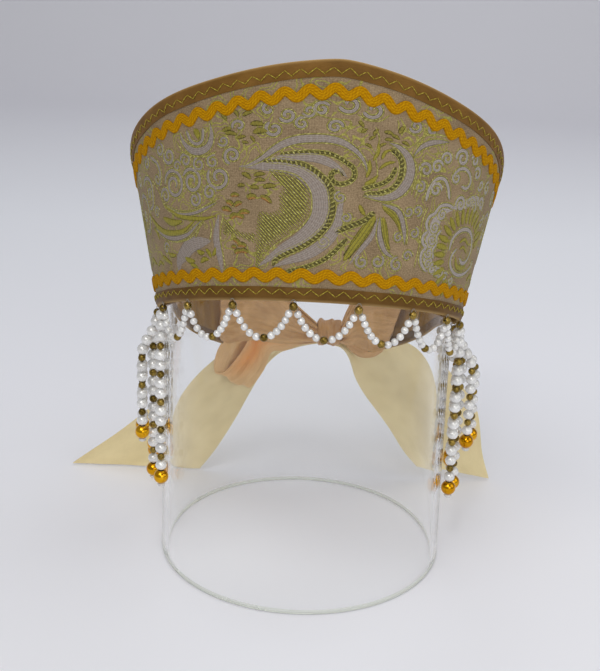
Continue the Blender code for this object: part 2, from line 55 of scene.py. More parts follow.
# Where the solids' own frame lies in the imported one: the axis of the glass
GLASS_LOW, GLASS_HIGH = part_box("glass_cylinder")
GLASS_AXIS = 0.5 * (GLASS_LOW + GLASS_HIGH)
GLASS_AXIS.z = 0.0
GLASS_PLACE = np.array(GLASS_AXIS)

# Glass cylinder, closed at the top and rounded at its edges
GLASS_RADIUS = 78.5 * MM
GLASS_FOOT_RADIUS = 80.2 * MM
GLASS_STRAIGHT_FROM = 125.0 * MM
GLASS_HEIGHT = 206.0 * MM
GLASS_WALL = 3.5 * MM
GLASS_TOP = 6.0 * MM
GLASS_ROUND = 1.6 * MM
GLASS_SIDES = 160
GLASS_BEND_STEPS = 7
GLASS_FLARE_STEPS = 8
GLASS_FLARE_POWER = 1.5

# Oval ring of the headdress and the way it leans
RING_HALF_WIDTH = 82.3 * MM
RING_HALF_DEPTH = 95.0 * MM
RING_FRONT = Vector((0.5, -87.5, 175.4)) * MM
LEAN_BACK = math.radians(22.7)
LEAN_SIDE = math.radians(0.84)
TURN = math.radians(4.9)
FLARE = math.tan(math.radians(12.9))
LEFT_RISE = 2.4 * MM
WING_END = 145.0
PEAK_SOFTNESS = 3.0
# Places below height 0 hang plumb instead of leaning with the ring; how soft the change is
HANG_SOFTNESS = 1.6 * MM

# Height of the top edge and drop of the lower edge, by angle from the centre of the front
#          angle  height  drop
BAND_SHAPE = ((0.0, 109.4, 0.0),
              (12.0, 106.2, 0.0),
              (30.0, 100.6, 0.0),
              (50.0, 94.8, 0.0),
              (68.0, 88.0, 0.0),
              (84.0, 81.6, 0.0),
              (100.0, 75.5, 0.6),
              (115.0, 68.5, 6.0),
              (130.0, 58.5, 11.5),
              (145.0, 45.0, 15.5))

# Layers of the band, as offsets from the ring's surface
CLOTH_OUTER = -0.75 * MM
CLOTH_INNER = -1.25 * MM
LINING_OUTER = -1.35 * MM
LINING_INNER = -1.9 * MM
MID_OFFSET = -1.3 * MM
EDGE_INSET = 1.3 * MM
BAND_COLUMNS = 380
CLOTH_ROWS = 60
LINING_ROWS = 24

# Satin bindings: their space from the cloth, their own thickness and how far the cloth stirs
TOP_BINDING_WIDTH = 8.0 * MM
BOTTOM_BINDING_WIDTH = 6.6 * MM
BINDING_CLEAR = 0.12 * MM
BINDING_THICK = 0.32 * MM
BINDING_COLUMNS = 520
BINDING_PUCKER = 0.09 * MM
BINDING_DRIFT = 0.07 * MM
BINDING_WANDER = (0.12 * MM, 0.1 * MM)
# Dark and light colours of the top binding, and the paler colour of its folded edge: a painted highlight
BINDING_COLOURS = ((0.112, 0.053, 0.010), (0.240, 0.122, 0.027), (0.50, 0.32, 0.12))
# Share of those colours that the lower binding gets: painted shade of its folded underside
BOTTOM_BINDING_PAINTED_SHADE = 0.76

# Rickrack trimming
RICKRACK_TAPE = 4.6 * MM
RICKRACK_LOW = -0.7 * MM
RICKRACK_BODY = 0.86 * MM
RICKRACK_CORD = 0.19 * MM
RICKRACK_CORDS = 4
RICKRACK_COLUMNS = 22
RICKRACK_END = 143.0
RICKRACK_PERIOD = 11.8 * MM
UPPER_SWING = 1.65 * MM
UPPER_BELOW_TOP = 14.3 * MM
LOWER_SWING = 1.35 * MM
LOWER_ABOVE_EDGE = 11.9 * MM
# Place of each rickrack in its wave at the centre of the front, in radians
UPPER_PHASE = 3.3
LOWER_PHASE = 2.1

# Zigzag stitching of the bindings
STITCH_PERIOD = 7.6 * MM
STITCH_RADIUS = 0.22 * MM
STITCH_WANDER = 0.32 * MM
STITCH_LIFT = 0.46 * MM
TOP_STITCH_START = -1.0 * MM
TOP_STITCH = (3.9 * MM, 6.6 * MM)
BOTTOM_STITCH = (2.8 * MM, 5.4 * MM)

# Seam of the lining inside the right wing: angle, heights and radius of its cord
SEAM_ANGLE = 118.0
SEAM_HEIGHTS = (-0.4 * MM, 40.0 * MM)
SEAM_RADIUS = 0.42 * MM

# Beads
EDGE_BEAD_RADIUS = 2.15 * MM
EDGE_BEAD_OFFSET = -0.3 * MM
GAP = 0.3 * MM
ANCHOR_SPACING = 31.25 * MM
SWAG_COUNT = 7
SWAG_PEARLS = 5
SWAG_PITCH = 3.76 * MM
SWAG_SPACER_PITCH = 3.95 * MM
SWAG_SIDE_STEP = 2.25 * MM
SWAG_DROP = 3.9 * MM
SWAG_RADIUS = 1.9 * MM
# Distance from an edge bead's centre to the end of a swag's thread
SWAG_THREAD_STEP = 1.7 * MM
EDGE_THREAD_RADIUS = 0.16 * MM
# Least and greatest size of a pearl beside the usual one
SWAG_PEARL_SIZES = (0.97, 1.02)
STRAND_PEARL_SIZES = (0.985, 1.015)
# Radius, half length and hole of a swag's pearls and bronze bead
SWAG_PEARL = (1.88 * MM, 1.86 * MM, 0.34 * MM)
SWAG_SPACER = (2.0 * MM, 1.98 * MM, 0.4 * MM)
PEARL_PITCH = 5.85 * MM
SPACER_PITCH = 4.2 * MM
# Radius of a strand's bead as a share of its pitch
BEAD_FILL = 0.49
BALL_RADIUS = 3.85 * MM
BALL_FULL = 4.05 / 3.85
PEARL_BULGE = 1.07
# A strand's beads may be spread by this much before it gets another pearl
LOOSEST_FIT = 1.035
# Radius, half length and hole of the small bead under each gold ball, and its space from the ball
STOPPER = (2.1 * MM, 1.3 * MM, 0.4 * MM)
STOPPER_STEP = 0.9 * MM
TOP_PEARLS = 3
STRAND_SWING = 22.0 * MM
STRAND_LEAN = 0.04
PENDANT_ANGLES = {-1: (-92.5, -100.3, -108.1), 1: (84.0, 91.8, 99.6)}
THREAD_RADIUS = 0.22 * MM
SIDE_NAMES = {-1: "left", 1: "right"}

# Side strands: side is -1 on the left, bead is 0 for the last swag bead, along is the
# strand's place under its bead in mm, x, y and ball place its gold ball in mm
#            name            side bead along   x      y     ball  groups
STRANDS = (("long_front", -1, 0, 2.9, -76.6, -34.5, 55.0, 5),
           ("short_front", -1, 1, -3.0, -90.6, -7.0, 68.6, 3),
           ("long_rear", -1, 1, 3.0, -85.4, -0.5, 42.6, 5),
           ("short_rear", -1, 2, -3.0, -92.4, 6.5, 66.8, 3),
           ("middle_front", -1, 2, 3.0, -86.6, 12.0, 52.6, 4),
           ("middle_rear", -1, 3, 0.0, -87.6, 21.5, 44.2, 4),
           ("long_front", 1, 0, 2.9, 81.5, -22.0, 48.6, 5),
           ("short_front", 1, 1, -3.0, 91.4, -6.5, 70.2, 3),
           ("long_rear", 1, 1, 3.0, 86.6, 0.5, 41.0, 5),
           ("short_rear", 1, 2, -3.0, 95.6, 7.5, 68.2, 3),
           ("middle_front", 1, 2, 3.0, 85.6, 12.0, 52.0, 4),
           ("middle_rear", 1, 3, 0.0, 86.8, 21.5, 45.0, 4))

# Satin ribbon, gathered at the knot behind the cylinder
SATIN_THICK = 0.9 * MM
SATIN_ACROSS = 60
SATIN_STEP = 1.6 * MM
SATIN_PLEATS = 4.5
SATIN_FULL_HALF = 25.0
SATIN_PLEAT_DEPTH = 1.5
SATIN_CREASE_COUNT = 7
KNOT = Vector((14.0, 90.0, 98.0)) * MM
#               along  radius_y  radius_z
KNOT_SHAPE = ((-8.0, 5.4, 6.6),
              (-6.4, 7.4, 8.6),
              (-2.2, 6.6, 7.9),
              (2.4, 7.2, 8.4),
              (6.6, 7.0, 8.2),
              (8.0, 5.2, 6.4))
KNOT_HALF = 8.0 * MM

# Widths that the ribbon's pieces are cut to
LOOP_WIDTH = 45.0 * MM
LEFT_TAIL_WIDTH = 70.0 * MM
RIGHT_TAIL_WIDTH = 60.0 * MM
TIE_WIDTH = 48.0 * MM

# Ties from the insides of the wing ends to the knot, worked out round the cylinder: how far
# inside its wing each one is sewn, in mm, where -1 is the left side
TIE_LAP = {-1: 5.5, 1: 22.0}
# Space between a tie's other end and the knot
TIE_END_GAP = 0.1 * MM
# How far the sewn end of a tie leans, top toward the wing, as a share of the height
TIE_LEAN = {-1: 0.0, 1: 0.35}
#            share  radius  centre_z  half_width  fold
TIE_LEFT = ((0.0, 80.1, 122.0, 24.0, 0.0),
            (0.16, 80.3, 121.0, 23.5, 0.1),
            (0.34, 81.8, 119.0, 22.0, 0.6),
            (0.58, 82.8, 112.0, 18.5, 0.8),
            (0.8, 83.4, 104.5, 13.0, 0.8),
            (1.0, 86.0, 98.5, 6.4, 0.3))
TIE_RIGHT = ((0.0, 80.0, 120.0, 24.0, 0.0),
             (0.24, 80.1, 119.3, 24.2, 0.0),
             (0.48, 80.2, 118.5, 24.5, 0.1),
             (0.62, 82.2, 117.0, 23.5, 0.6),
             (0.76, 83.6, 112.5, 18.5, 0.8),
             (0.89, 85.4, 105.0, 12.5, 0.8),
             (1.0, 88.5, 98.5, 6.4, 0.3))

# Bow loops and tails: centre of each section, half its width, the turn of the ribbon in
# the upright plane (0 stands on edge, 90 lies level) and the depth of its folds
#             x      y     z     half   turn  fold
LOOP_LEFT = ((5.4, 88.2, 99.1, 5.6, 2.0, 0.3),
             (-6.5, 88.2, 98.9, 9.8, 20.0, 0.6),
             (-20.8, 87.4, 97.2, 13.4, 29.0, 0.8),
             (-29.5, 86.6, 93.1, 11.5, 38.0, 0.8),
             (-33.0, 86.2, 81.3, 10.6, 34.0, 0.6),
             (-42.5, 86.4, 66.8, 9.9, 54.0, 0.3),
             (-48.0, 88.2, 63.4, 11.3, 65.0, 0.1),
             (-48.3, 90.8, 65.7, 14.2, 65.0, 0.3),
             (-44.7, 92.2, 74.9, 15.9, 63.0, 0.6),
             (-39.2, 93.2, 86.0, 14.0, 60.0, 0.8),
             (-29.8, 93.6, 93.0, 12.3, 47.0, 0.8),
             (-9.7, 93.0, 97.2, 10.0, 32.0, 0.6),
             (5.4, 91.6, 97.0, 4.4, 2.0, 0.3))
LOOP_RIGHT = ((22.6, 88.2, 98.9, 5.6, 2.0, 0.3),
              (28.0, 89.0, 97.6, 11.0, 0.0, 0.8),
              (35.5, 90.0, 95.8, 13.4, -2.0, 1.0),
              (44.0, 91.2, 95.2, 13.0, -6.0, 0.8),
              (50.5, 92.4, 96.0, 11.5, -10.0, 0.3),
              (52.0, 94.4, 96.4, 11.0, -10.0, 0.1),
              (49.5, 96.0, 96.6, 11.0, -10.0, 0.3),
              (42.0, 96.4, 97.5, 10.0, -6.0, 0.8),
              (33.0, 95.2, 98.6, 8.5, -2.0, 0.6),
              (22.6, 92.4, 99.2, 5.2, 2.0, 0.3))
TAIL_LEFT = ((10.0, 96.8, 91.0, 3.0, 50.0, 0.2),
             (-3.0, 98.6, 90.4, 5.6, 38.0, 0.8),
             (-13.0, 99.3, 88.8, 7.4, 36.0, 1.2),
             (-24.9, 99.5, 85.4, 9.5, 44.0, 1.6),
             (-38.8, 98.5, 76.3, 14.0, 68.0, 1.8),
             (-54.8, 96.5, 59.1, 20.1, 79.0, 1.6),
             (-71.3, 94.0, 38.8, 25.5, 80.0, 1.2),
             (-90.4, 90.0, 18.4, 31.9, 84.0, 0.6),
             (-110.5, 86.5, 1.2, 39.7, 90.0, 0.0))
TAIL_RIGHT = ((17.6, 96.2, 91.0, 3.0, -50.0, 0.2),
              (26.5, 99.4, 90.0, 6.2, -40.0, 0.7),
              (36.6, 101.4, 85.2, 11.4, -49.0, 1.0),
              (54.1, 101.2, 74.1, 23.4, -63.0, 1.6),
              (72.0, 98.6, 55.1, 29.1, -77.0, 1.6),
              (84.5, 94.0, 39.3, 28.0, -77.0, 1.2),
              (93.0, 90.5, 18.1, 23.8, -89.0, 0.6),
              (101.1, 87.5, 4.8, 21.3, -100.0, 0.0))

# Height and greatest length of the soft creases, in mm
LOOP_CREASES = (0.34, 22.0)
TAIL_CREASES = (0.30, 60.0)
TIE_CREASES = (0.12, 22.0)
# Orange hollow of the left loop, a dent with painted orange shade in it: from and to as shares of its
# length, across at both, width across and depth in mm
LEFT_HOLLOW = (0.12, 0.50, (-0.2, 0.7), 0.60, -1.3)

# Pale backdrop: where it starts, ends and bends up, its bend, its height and half its width
ROOM_NEAR = -1.6
ROOM_FAR = 1.5
ROOM_BEND = 0.7
ROOM_HIGH = 2.2
ROOM_HALF = 2.6

# Lamps, all square: the first five shine at the headdress, the last at the backdrop
HEADDRESS_MIDDLE = (0.0, 0.0, 0.15)
BACKDROP_MIDDLE = (0.35, 2.1, 0.5)
#         name             place                 aim               width power colour
LAMPS = (("key_lamp", (-0.35, -0.75, 1.25), HEADDRESS_MIDDLE, 0.8, 5.2, (1.0, 0.985, 0.96)),
         ("top_lamp", (0.2, 0.25, 1.5), HEADDRESS_MIDDLE, 1.0, 3.2, (1.0, 0.99, 0.98)),
         ("front_lamp", (0.45, -1.3, 0.6), HEADDRESS_MIDDLE, 0.8, 3.5, (1.0, 0.99, 0.97)),
         ("right_lamp", (1.15, -0.35, 0.75), HEADDRESS_MIDDLE, 0.9, 2.4, (1.0, 0.99, 0.97)),
         ("small_lamp", (-0.12, -0.85, 0.95), HEADDRESS_MIDDLE, 0.1, 0.9, (1.0, 1.0, 1.0)),
         ("backdrop_lamp", (0.45, 0.95, 1.9), BACKDROP_MIDDLE, 1.3, 5.2, (0.98, 0.98, 1.0)))
SKY_COLOUR = (0.97, 0.98, 1.0, 1.0)
SKY_STRENGTH = 0.34

# Camera, placed from the glass's axis, and its turns
CAMERA_PLACE = Vector((0.0, -621.84, 351.58)) * MM
CAMERA_PITCH = 0.3466
CAMERA_YAW = -0.0064
CAMERA_ROLL = 0.0361
CAMERA_LENS = 64.38
CAMERA_SENSOR = 36.0


def headdress_frame():
    """Matrix from the headdress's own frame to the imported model's."""
    centre = Vector((0.0, RING_HALF_DEPTH, 0.0))
    return (Matrix.Translation(GLASS_AXIS + RING_FRONT)
            @ Matrix.Rotation(LEAN_SIDE, 4, "Y")
            @ Matrix.Rotation(-LEAN_BACK, 4, "X")
            @ Matrix.Translation(centre)
            @ Matrix.Rotation(TURN, 4, "Z"))


FRAME = headdress_frame()
FRAME_TURN = np.array(FRAME.to_3x3())
FRAME_MOVE = np.array(FRAME.translation)
AXIS = FRAME_TURN @ np.array((0.0, 0.0, 1.0))


def blend(rows, column, where):
    """Values of a table's column at places along its first one, on a smooth curve."""
    keys = np.array([row[0] for row in rows])
    values = np.array([row[column] for row in rows])
    where = np.clip(where, keys[0], keys[-1])
    slopes = np.diff(values) / np.diff(keys)
    product = slopes[:-1] * slopes[1:]
    total = np.where(product > 0.0, slopes[:-1] + slopes[1:], 1.0)
    middle = np.where(product > 0.0, 2.0 * product / total, 0.0)
    tangents = np.concatenate([slopes[:1], middle, slopes[-1:]])
    index = np.clip(np.searchsorted(keys, where, side="right") - 1, 0, len(keys) - 2)
    span = keys[index + 1] - keys[index]
    t = (where - keys[index]) / span
    return ((2 * t ** 3 - 3 * t ** 2 + 1) * values[index]
            + (t ** 3 - 2 * t ** 2 + t) * span * tangents[index]
            + (3 * t ** 2 - 2 * t ** 3) * values[index + 1]
            + (t ** 3 - t ** 2) * span * tangents[index + 1])


def on_band(angle, height, offset):
    """Points at angles in degrees, heights along the ring's axis and offsets outward."""
    angle, height, offset = np.broadcast_arrays(*(np.asarray(v, float) for v in (angle, height, offset)))
    around = np.radians(angle)
    normal = np.stack([np.sin(around) / RING_HALF_WIDTH, -np.cos(around) / RING_HALF_DEPTH], -1)
    normal /= np.linalg.norm(normal, axis=-1, keepdims=True)
    up = 0.5 * (height + np.hypot(height, HANG_SOFTNESS))
    out = up * FLARE + offset
    local = np.stack([RING_HALF_WIDTH * np.sin(around) + normal[..., 0] * out,
                      -RING_HALF_DEPTH * np.cos(around) + normal[..., 1] * out,
                      up], -1)
    points = local @ FRAME_TURN.T + FRAME_MOVE
    points[..., 2] += height - up
    return points


def out_of_band(angle, height):
    """Outward directions of the band's surface."""
    step = 0.01 * MM
    across = on_band(angle + 0.05, height, 0.0) - on_band(angle - 0.05, height, 0.0)
    rise = on_band(angle, height + step, 0.0) - on_band(angle, height - step, 0.0)
    normal = np.cross(across, rise)
    return normal / np.linalg.norm(normal, axis=-1, keepdims=True)


def top_height(angle):
    soft = np.hypot(angle, PEAK_SOFTNESS) - PEAK_SOFTNESS
    side = np.sin(np.radians(np.clip(angle, -90.0, 90.0)))
    return blend(BAND_SHAPE, 1, soft) * MM - LEFT_RISE * side


def low_height(angle):
    return -blend(BAND_SHAPE, 2, np.abs(angle)) * MM


# Distance along the ring at every quarter of a degree
FINE_ANGLES = np.linspace(-180.0, 180.0, 1441)
FINE_SPEED = np.hypot(RING_HALF_WIDTH * np.cos(np.radians(FINE_ANGLES)),
                      RING_HALF_DEPTH * np.sin(np.radians(FINE_ANGLES)))
FINE_ARC = np.concatenate([[0.0], np.cumsum(0.5 * (FINE_SPEED[1:] + FINE_SPEED[:-1])
                                            * np.radians(np.diff(FINE_ANGLES)))])
FINE_ARC -= FINE_ARC[len(FINE_ARC) // 2]


def angle_at(arc):
    """Angles at distances along the ring from the centre of the front."""
    return np.interp(arc, FINE_ARC, FINE_ANGLES)


def arc_at(angle):
    return np.interp(angle, FINE_ANGLES, FINE_ARC)


def even_angles(height, spacing, end, moved=0.0):
    """Angles evenly spaced round the band at a height, outward from the centre of the front."""
    fine = np.linspace(-end, end, 1200)
    points = on_band(fine, height(fine), 0.0)
    lengths = lengths_of(points)
    lengths -= np.interp(0.0, fine, lengths)
    first = math.ceil(lengths[0] / spacing)
    last = math.floor(lengths[-1] / spacing)
    wanted = np.arange(first + 1, last) * spacing + moved
    return np.interp(wanted, lengths, fine), wanted - moved


# Points and lines


def unit(vectors):
    return vectors / np.linalg.norm(vectors, axis=-1, keepdims=True)


def tangents(points):
    return unit(np.gradient(points, axis=0))


def sideways(line):
    """Directions to the left of a flat line."""
    along = tangents(line)
    return np.stack([-along[:, 1], along[:, 0]], -1)


def lengths_of(points):
    """Distance of each point from the first one, along the line."""
    return np.concatenate([[0.0], np.cumsum(np.linalg.norm(np.diff(points, axis=0), axis=1))])


def point_at(points, lengths, length):
    return np.array([np.interp(length, lengths, column) for column in points.T])


def paired(first, second):
    """Pairs of two coordinates, spread out over one grid."""
    return np.stack(np.broadcast_arrays(first, second), -1)


def curve_between(before, start, end, after, count):
    """Points on a smooth curve from a start up to an end, which heeds the points beyond them."""
    t = (np.arange(count) / count)[:, None]
    return 0.5 * (2 * start + (end - before) * t + (2 * before - 5 * start + 4 * end - after) * t ** 2
                  + (3 * start - before - 3 * end + after) * t ** 3)


# Meshes


def grid_faces(rows, columns, close=False, caps=False):
    """Faces of a grid of points, whose rows may be closed rings with caps at both ends."""
    index = np.arange(rows * columns).reshape(rows, columns)
    wide = np.hstack([index, index[:, :1]]) if close else index
    quads = np.stack([wide[:-1, :-1], wide[:-1, 1:], wide[1:, 1:], wide[1:, :-1]], -1).reshape(-1, 4)
    faces = [quads]
    if caps:
        faces.append(index[:1, ::-1])
        faces.append(index[-1:, :])
    return faces


def volume(points, faces):
    """Signed volume inside closed faces."""
    total = 0.0
    for block in faces:
        for corner in range(1, block.shape[1] - 1):
            a, b, c = points[block[:, 0]], points[block[:, corner]], points[block[:, corner + 1]]
            total += np.einsum("ij,ij->", a, np.cross(b, c))
    return total


def closed(rings, uv=None, material=0, **values):
    """Closed solid through rings of points, with its faces turned outward."""
    rows, columns = rings.shape[:2]
    points = rings.reshape(-1, 3)
    faces = grid_faces(rows, columns, close=True, caps=True)
    if volume(points - points.mean(0), faces) < 0.0:
        faces = [block[:, ::-1] for block in faces]
    spread = {name: np.broadcast_to(value, rings.shape[:2]).ravel() for name, value in values.items()}
    part = {"points": points, "faces": faces, "material": material, "values": spread}
    if uv is not None:
        part["uv"] = uv.reshape(-1, 2)
    return part


def mesh_object(name, parts, materials, sharp=None):
    """One object made of several parts."""
    points = np.concatenate([part["points"] for part in parts])
    corners, counts, slots = [], [], []
    start = 0
    for part in parts:
        for block in part["faces"]:
            corners.append((np.asarray(block) + start).ravel())
            counts.append(np.full(len(block), block.shape[1]))
            slots.append(np.full(len(block), part["material"]))
        start += len(part["points"])
    corners = np.concatenate(corners).astype(np.int32)
    counts = np.concatenate(counts)
    mesh = bpy.data.meshes.new(name)
    mesh.vertices.add(len(points))
    mesh.vertices.foreach_set("co", points.astype(np.float32).ravel())
    mesh.loops.add(len(corners))
    mesh.loops.foreach_set("vertex_index", corners)
    mesh.polygons.add(len(counts))
    starts = np.concatenate([[0], np.cumsum(counts)[:-1]]).astype(np.int32)
    mesh.polygons.foreach_set("loop_start", starts)
    mesh.polygons.foreach_set("material_index", np.concatenate(slots).astype(np.int32))
    mesh.update(calc_edges=True)
    for key in sorted({key for part in parts for key in part.get("values", {})}):
        data = [part.get("values", {}).get(key, np.zeros(len(part["points"]))) for part in parts]
        attribute = mesh.attributes.new(key, "FLOAT", "POINT")
        attribute.data.foreach_set("value", np.concatenate(data).astype(np.float32))
    if all("uv" in part for part in parts):
        uv = np.concatenate([part["uv"] for part in parts])
        layer = mesh.uv_layers.new(name="UVMap")
        layer.uv.foreach_set("vector", uv[corners].astype(np.float32).ravel())
    mesh.shade_smooth()
    if sharp is not None:
        mesh.set_sharp_from_angle(angle=math.radians(sharp))
    for material in materials:
        mesh.materials.append(material)
    thing = bpy.data.objects.new(name, mesh)
    bpy.context.scene.collection.objects.link(thing)
    return thing


def piece(name, parts, materials, slot, *replaced, sharp=None):
    """A visible piece that rides on the one body, and the solids that it stands for."""
    thing = mesh_object(name, parts, materials, sharp)
    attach(thing, "root")
    if replaced:
        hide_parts(*replaced)
    return thing


def tube(points, radii, normals, sides=6, material=0, **values):
    """Round thread along points, with a direction that its rings start from."""
    points = np.asarray(points, float)
    along = tangents(points)
    side = unit(np.cross(along, np.broadcast_to(normals, points.shape)))
    up = np.cross(side, along)
    turn = np.linspace(0.0, 2.0 * math.pi, sides, endpoint=False)
    radii = np.broadcast_to(radii, len(points))[:, None, None]
    rings = points[:, None] + radii * (np.cos(turn)[None, :, None] * side[:, None]
                                       + np.sin(turn)[None, :, None] * up[:, None])
    uv = paired(lengths_of(points)[:, None] / MM, turn / (2.0 * math.pi))
    return closed(rings, uv, material, **values)


def turned(profile, sides=24):
    """Points and faces of a solid turned about +Z; a profile with no point on the axis is a ring."""
    profile = np.asarray(profile, float)
    turn = np.linspace(0.0, 2.0 * math.pi, sides, endpoint=False)
    ring = profile[:, 0] > 0.0
    points = []
    start = []
    for radius, rise in profile:
        start.append(len(points))
        if radius > 0.0:
            points += [(radius * math.cos(a), radius * math.sin(a), rise) for a in turn]
        else:
            points.append((0.0, 0.0, rise))
    quads, triangles = [], []
    pairs = list(zip(range(len(profile)), range(1, len(profile))))
    if ring.all():
        pairs.append((len(profile) - 1, 0))
    for low, high in pairs:
        for side in range(sides):
            after = (side + 1) % sides
            if ring[low] and ring[high]:
                quads.append((start[low] + side, start[low] + after,
                              start[high] + after, start[high] + side))
            elif ring[low]:
                triangles.append((start[low] + side, start[low] + after, start[high]))
            elif ring[high]:
                triangles.append((start[low], start[high] + after, start[high] + side))
    points = np.array(points)
    faces = [np.array(block) for block in (quads, triangles) if block]
    if volume(points, faces) < 0.0:
        faces = [block[:, ::-1] for block in faces]
    return points, faces


def bead_profile(radius, half, hole, steps=9):
    """Half outline of a drilled bead, from one mouth of its hole to the other and back inside."""
    tilt = math.asin(min(hole / radius, 0.9))
    rows = [(radius * math.sin(t), -half * math.cos(t)) for t in np.linspace(tilt, math.pi - tilt, steps)]
    mouth = rows[0][1]
    rows = [(hole * 0.85, mouth * 0.82)] + rows + [(hole * 0.85, -mouth * 0.82)]
    return rows


def axes(direction, spin):
    """Matrix that turns +Z to a direction, with a spin about it."""
    direction = np.asarray(direction, float) / np.linalg.norm(direction)
    aslant = np.array((1.0, 0.0, 0.0)) if abs(direction[0]) < 0.8 else np.array((0.0, 1.0, 0.0))
    side = np.cross(direction, aslant)
    side /= np.linalg.norm(side)
    other = np.cross(direction, side)
    first = math.cos(spin) * side + math.sin(spin) * other
    return np.stack([first, np.cross(direction, first), direction], 1)


def placed(shape, centre, direction, material=0, scale=1.0, tone=None):
    """Copy of a turned shape at a centre, its axis along a direction, with a random spin."""
    points, faces = shape
    spin = RANDOM.uniform(0.0, 2.0 * math.pi)
    tone = RANDOM.uniform(0.0, 1.0) if tone is None else tone
    moved = (points * scale) @ axes(direction, spin).T + np.asarray(centre)
    return {"points": moved, "faces": faces, "material": material,
            "values": {"tone": np.full(len(points), tone)}}


# Materials


# Scale at which a wave texture repeats once a unit
WAVE = 0.314


class Look:
    """A node material, built up from small steps."""

    def __init__(self, name, colour, roughness, metallic=0.0):
        self.material = bpy.data.materials.new(name)
        self.material.use_nodes = True
        self.nodes = self.material.node_tree.nodes
        self.links = self.material.node_tree.links
        self.shader = self.nodes["Principled BSDF"]
        self.shader.inputs["Base Color"].default_value = (*colour, 1.0)
        self.shader.inputs["Roughness"].default_value = roughness
        self.shader.inputs["Metallic"].default_value = metallic

    def set(self, **sockets):
        for name, value in sockets.items():
            self.shader.inputs[name.replace("_", " ")].default_value = value

    def feed(self, target, source):
        if isinstance(source, bpy.types.NodeSocket):
            self.links.new(source, target)
        else:
            target.default_value = source

    def coordinates(self, kind):
        return self.nodes.new("ShaderNodeTexCoord").outputs[kind]

    def value(self, name):
        node = self.nodes.new("ShaderNodeAttribute")
        node.attribute_name = name
        return node.outputs["Fac"]

    def scaled(self, vector, scale, turn=0.0):
        node = self.nodes.new("ShaderNodeMapping")
        node.inputs["Scale"].default_value = scale
        node.inputs["Rotation"].default_value = (0.0, 0.0, turn)
        self.links.new(vector, node.inputs["Vector"])
        return node.outputs["Vector"]

    def noise(self, vector, scale, detail=2.0, roughness=0.5):
        node = self.nodes.new("ShaderNodeTexNoise")
        node.inputs["Scale"].default_value = scale
        node.inputs["Detail"].default_value = detail
        node.inputs["Roughness"].default_value = roughness
        self.links.new(vector, node.inputs["Vector"])
        return node.outputs["Fac"]

    def waves(self, vector, scale, direction="X", distortion=0.0):
        node = self.nodes.new("ShaderNodeTexWave")
        node.bands_direction = direction
        node.inputs["Scale"].default_value = scale
        node.inputs["Distortion"].default_value = distortion
        self.links.new(vector, node.inputs["Vector"])
        return node.outputs["Fac"]

    def near(self, source, level, width):
        """1 where a value is within a width of a level, else 0."""
        node = self.nodes.new("ShaderNodeMath")
        node.operation = "COMPARE"
        self.feed(node.inputs[0], source)
        node.inputs[1].default_value = level
        node.inputs[2].default_value = width
        return node.outputs[0]

    def calculate(self, operation, first, second):
        node = self.nodes.new("ShaderNodeMath")
        node.operation = operation
        self.feed(node.inputs[0], first)
        self.feed(node.inputs[1], second)
        return node.outputs[0]

    def weighted(self, *pairs):
        """Sum of several values, each of them times its share."""
        total = None
        for source, share in pairs:
            part = self.calculate("MULTIPLY", source, share)
            total = part if total is None else self.calculate("ADD", total, part)
        return total

    def ramp(self, source, *stops):
        """Colours along a value: each stop is a place and a colour or a grey level."""
        node = self.nodes.new("ShaderNodeValToRGB")
        elements = node.color_ramp.elements
        while len(elements) < len(stops):
            elements.new(0.5)
        for element, (place, colour) in zip(elements, stops):
            element.position = place
            colour = colour if isinstance(colour, tuple) else (colour, colour, colour)
            element.color = (*colour, 1.0)
        self.links.new(source, node.inputs["Fac"])
        return node.outputs["Color"]

    def mix(self, share, first, second, kind="MIX"):
        node = self.nodes.new("ShaderNodeMix")
        node.data_type = "RGBA"
        node.blend_type = kind
        self.feed(node.inputs["Factor"], share)
        places = [socket for socket in node.inputs if socket.type == "RGBA"]
        for socket, colour in zip(places, (first, second)):
            self.feed(socket, (*colour, 1.0) if isinstance(colour, tuple) else colour)
        return next(socket for socket in node.outputs if socket.type == "RGBA")

    def colour(self, source):
        self.feed(self.shader.inputs["Base Color"], source)

    def rough(self, source):
        self.feed(self.shader.inputs["Roughness"], source)

    def bump(self, height, distance, strength=1.0):
        """Relief of a height in metres, added to any relief set before."""
        node = self.nodes.new("ShaderNodeBump")
        node.inputs["Distance"].default_value = distance
        node.inputs["Strength"].default_value = strength
        self.links.new(height, node.inputs["Height"])
        before = self.shader.inputs["Normal"]
        if before.is_linked:
            self.links.new(before.links[0].from_socket, node.inputs["Normal"])
        self.links.new(node.outputs["Normal"], before)


def woven(look, place, warp_period, weft_period):
    """Threads of a plain weave with the given periods in mm."""
    warp = look.waves(look.scaled(place, (1.0 / warp_period, 1.0, 1.0)), WAVE, "X", 0.8)
    weft = look.waves(look.scaled(place, (1.0, 1.0 / weft_period, 1.0)), WAVE, "Y", 0.8)
    return look.calculate("MULTIPLY", warp, weft)


def lining_look():
    """Thin lining: plain weave, with loose upright folds in relief and painted shade that darkens the cloth
    along them.
    """
    look = Look("lining_cloth", (0.24, 0.165, 0.095), 0.75)
    place = look.coordinates("UV")
    slack_and_painted_shade = look.noise(look.scaled(place, (0.12, 0.014, 1.0)), 1.0, 2.0, 0.5)
    fine = look.noise(place, 1.4, 2.0, 0.6)
    tone = look.weighted((slack_and_painted_shade, 0.75), (fine, 0.25))
    # Darker along the fold noise: painted shade of the folds
    look.colour(look.ramp(tone, (0.32, (0.165, 0.078, 0.010)), (0.50, (0.29, 0.148, 0.018)),
                          (0.68, (0.43, 0.240, 0.045))))
    look.bump(slack_and_painted_shade, 1.2 * MM, 0.5)
    look.bump(woven(look, place, 0.8, 0.8), 0.05 * MM, 0.5)
    look.set(Specular_IOR_Level=0.15)
    return look.material


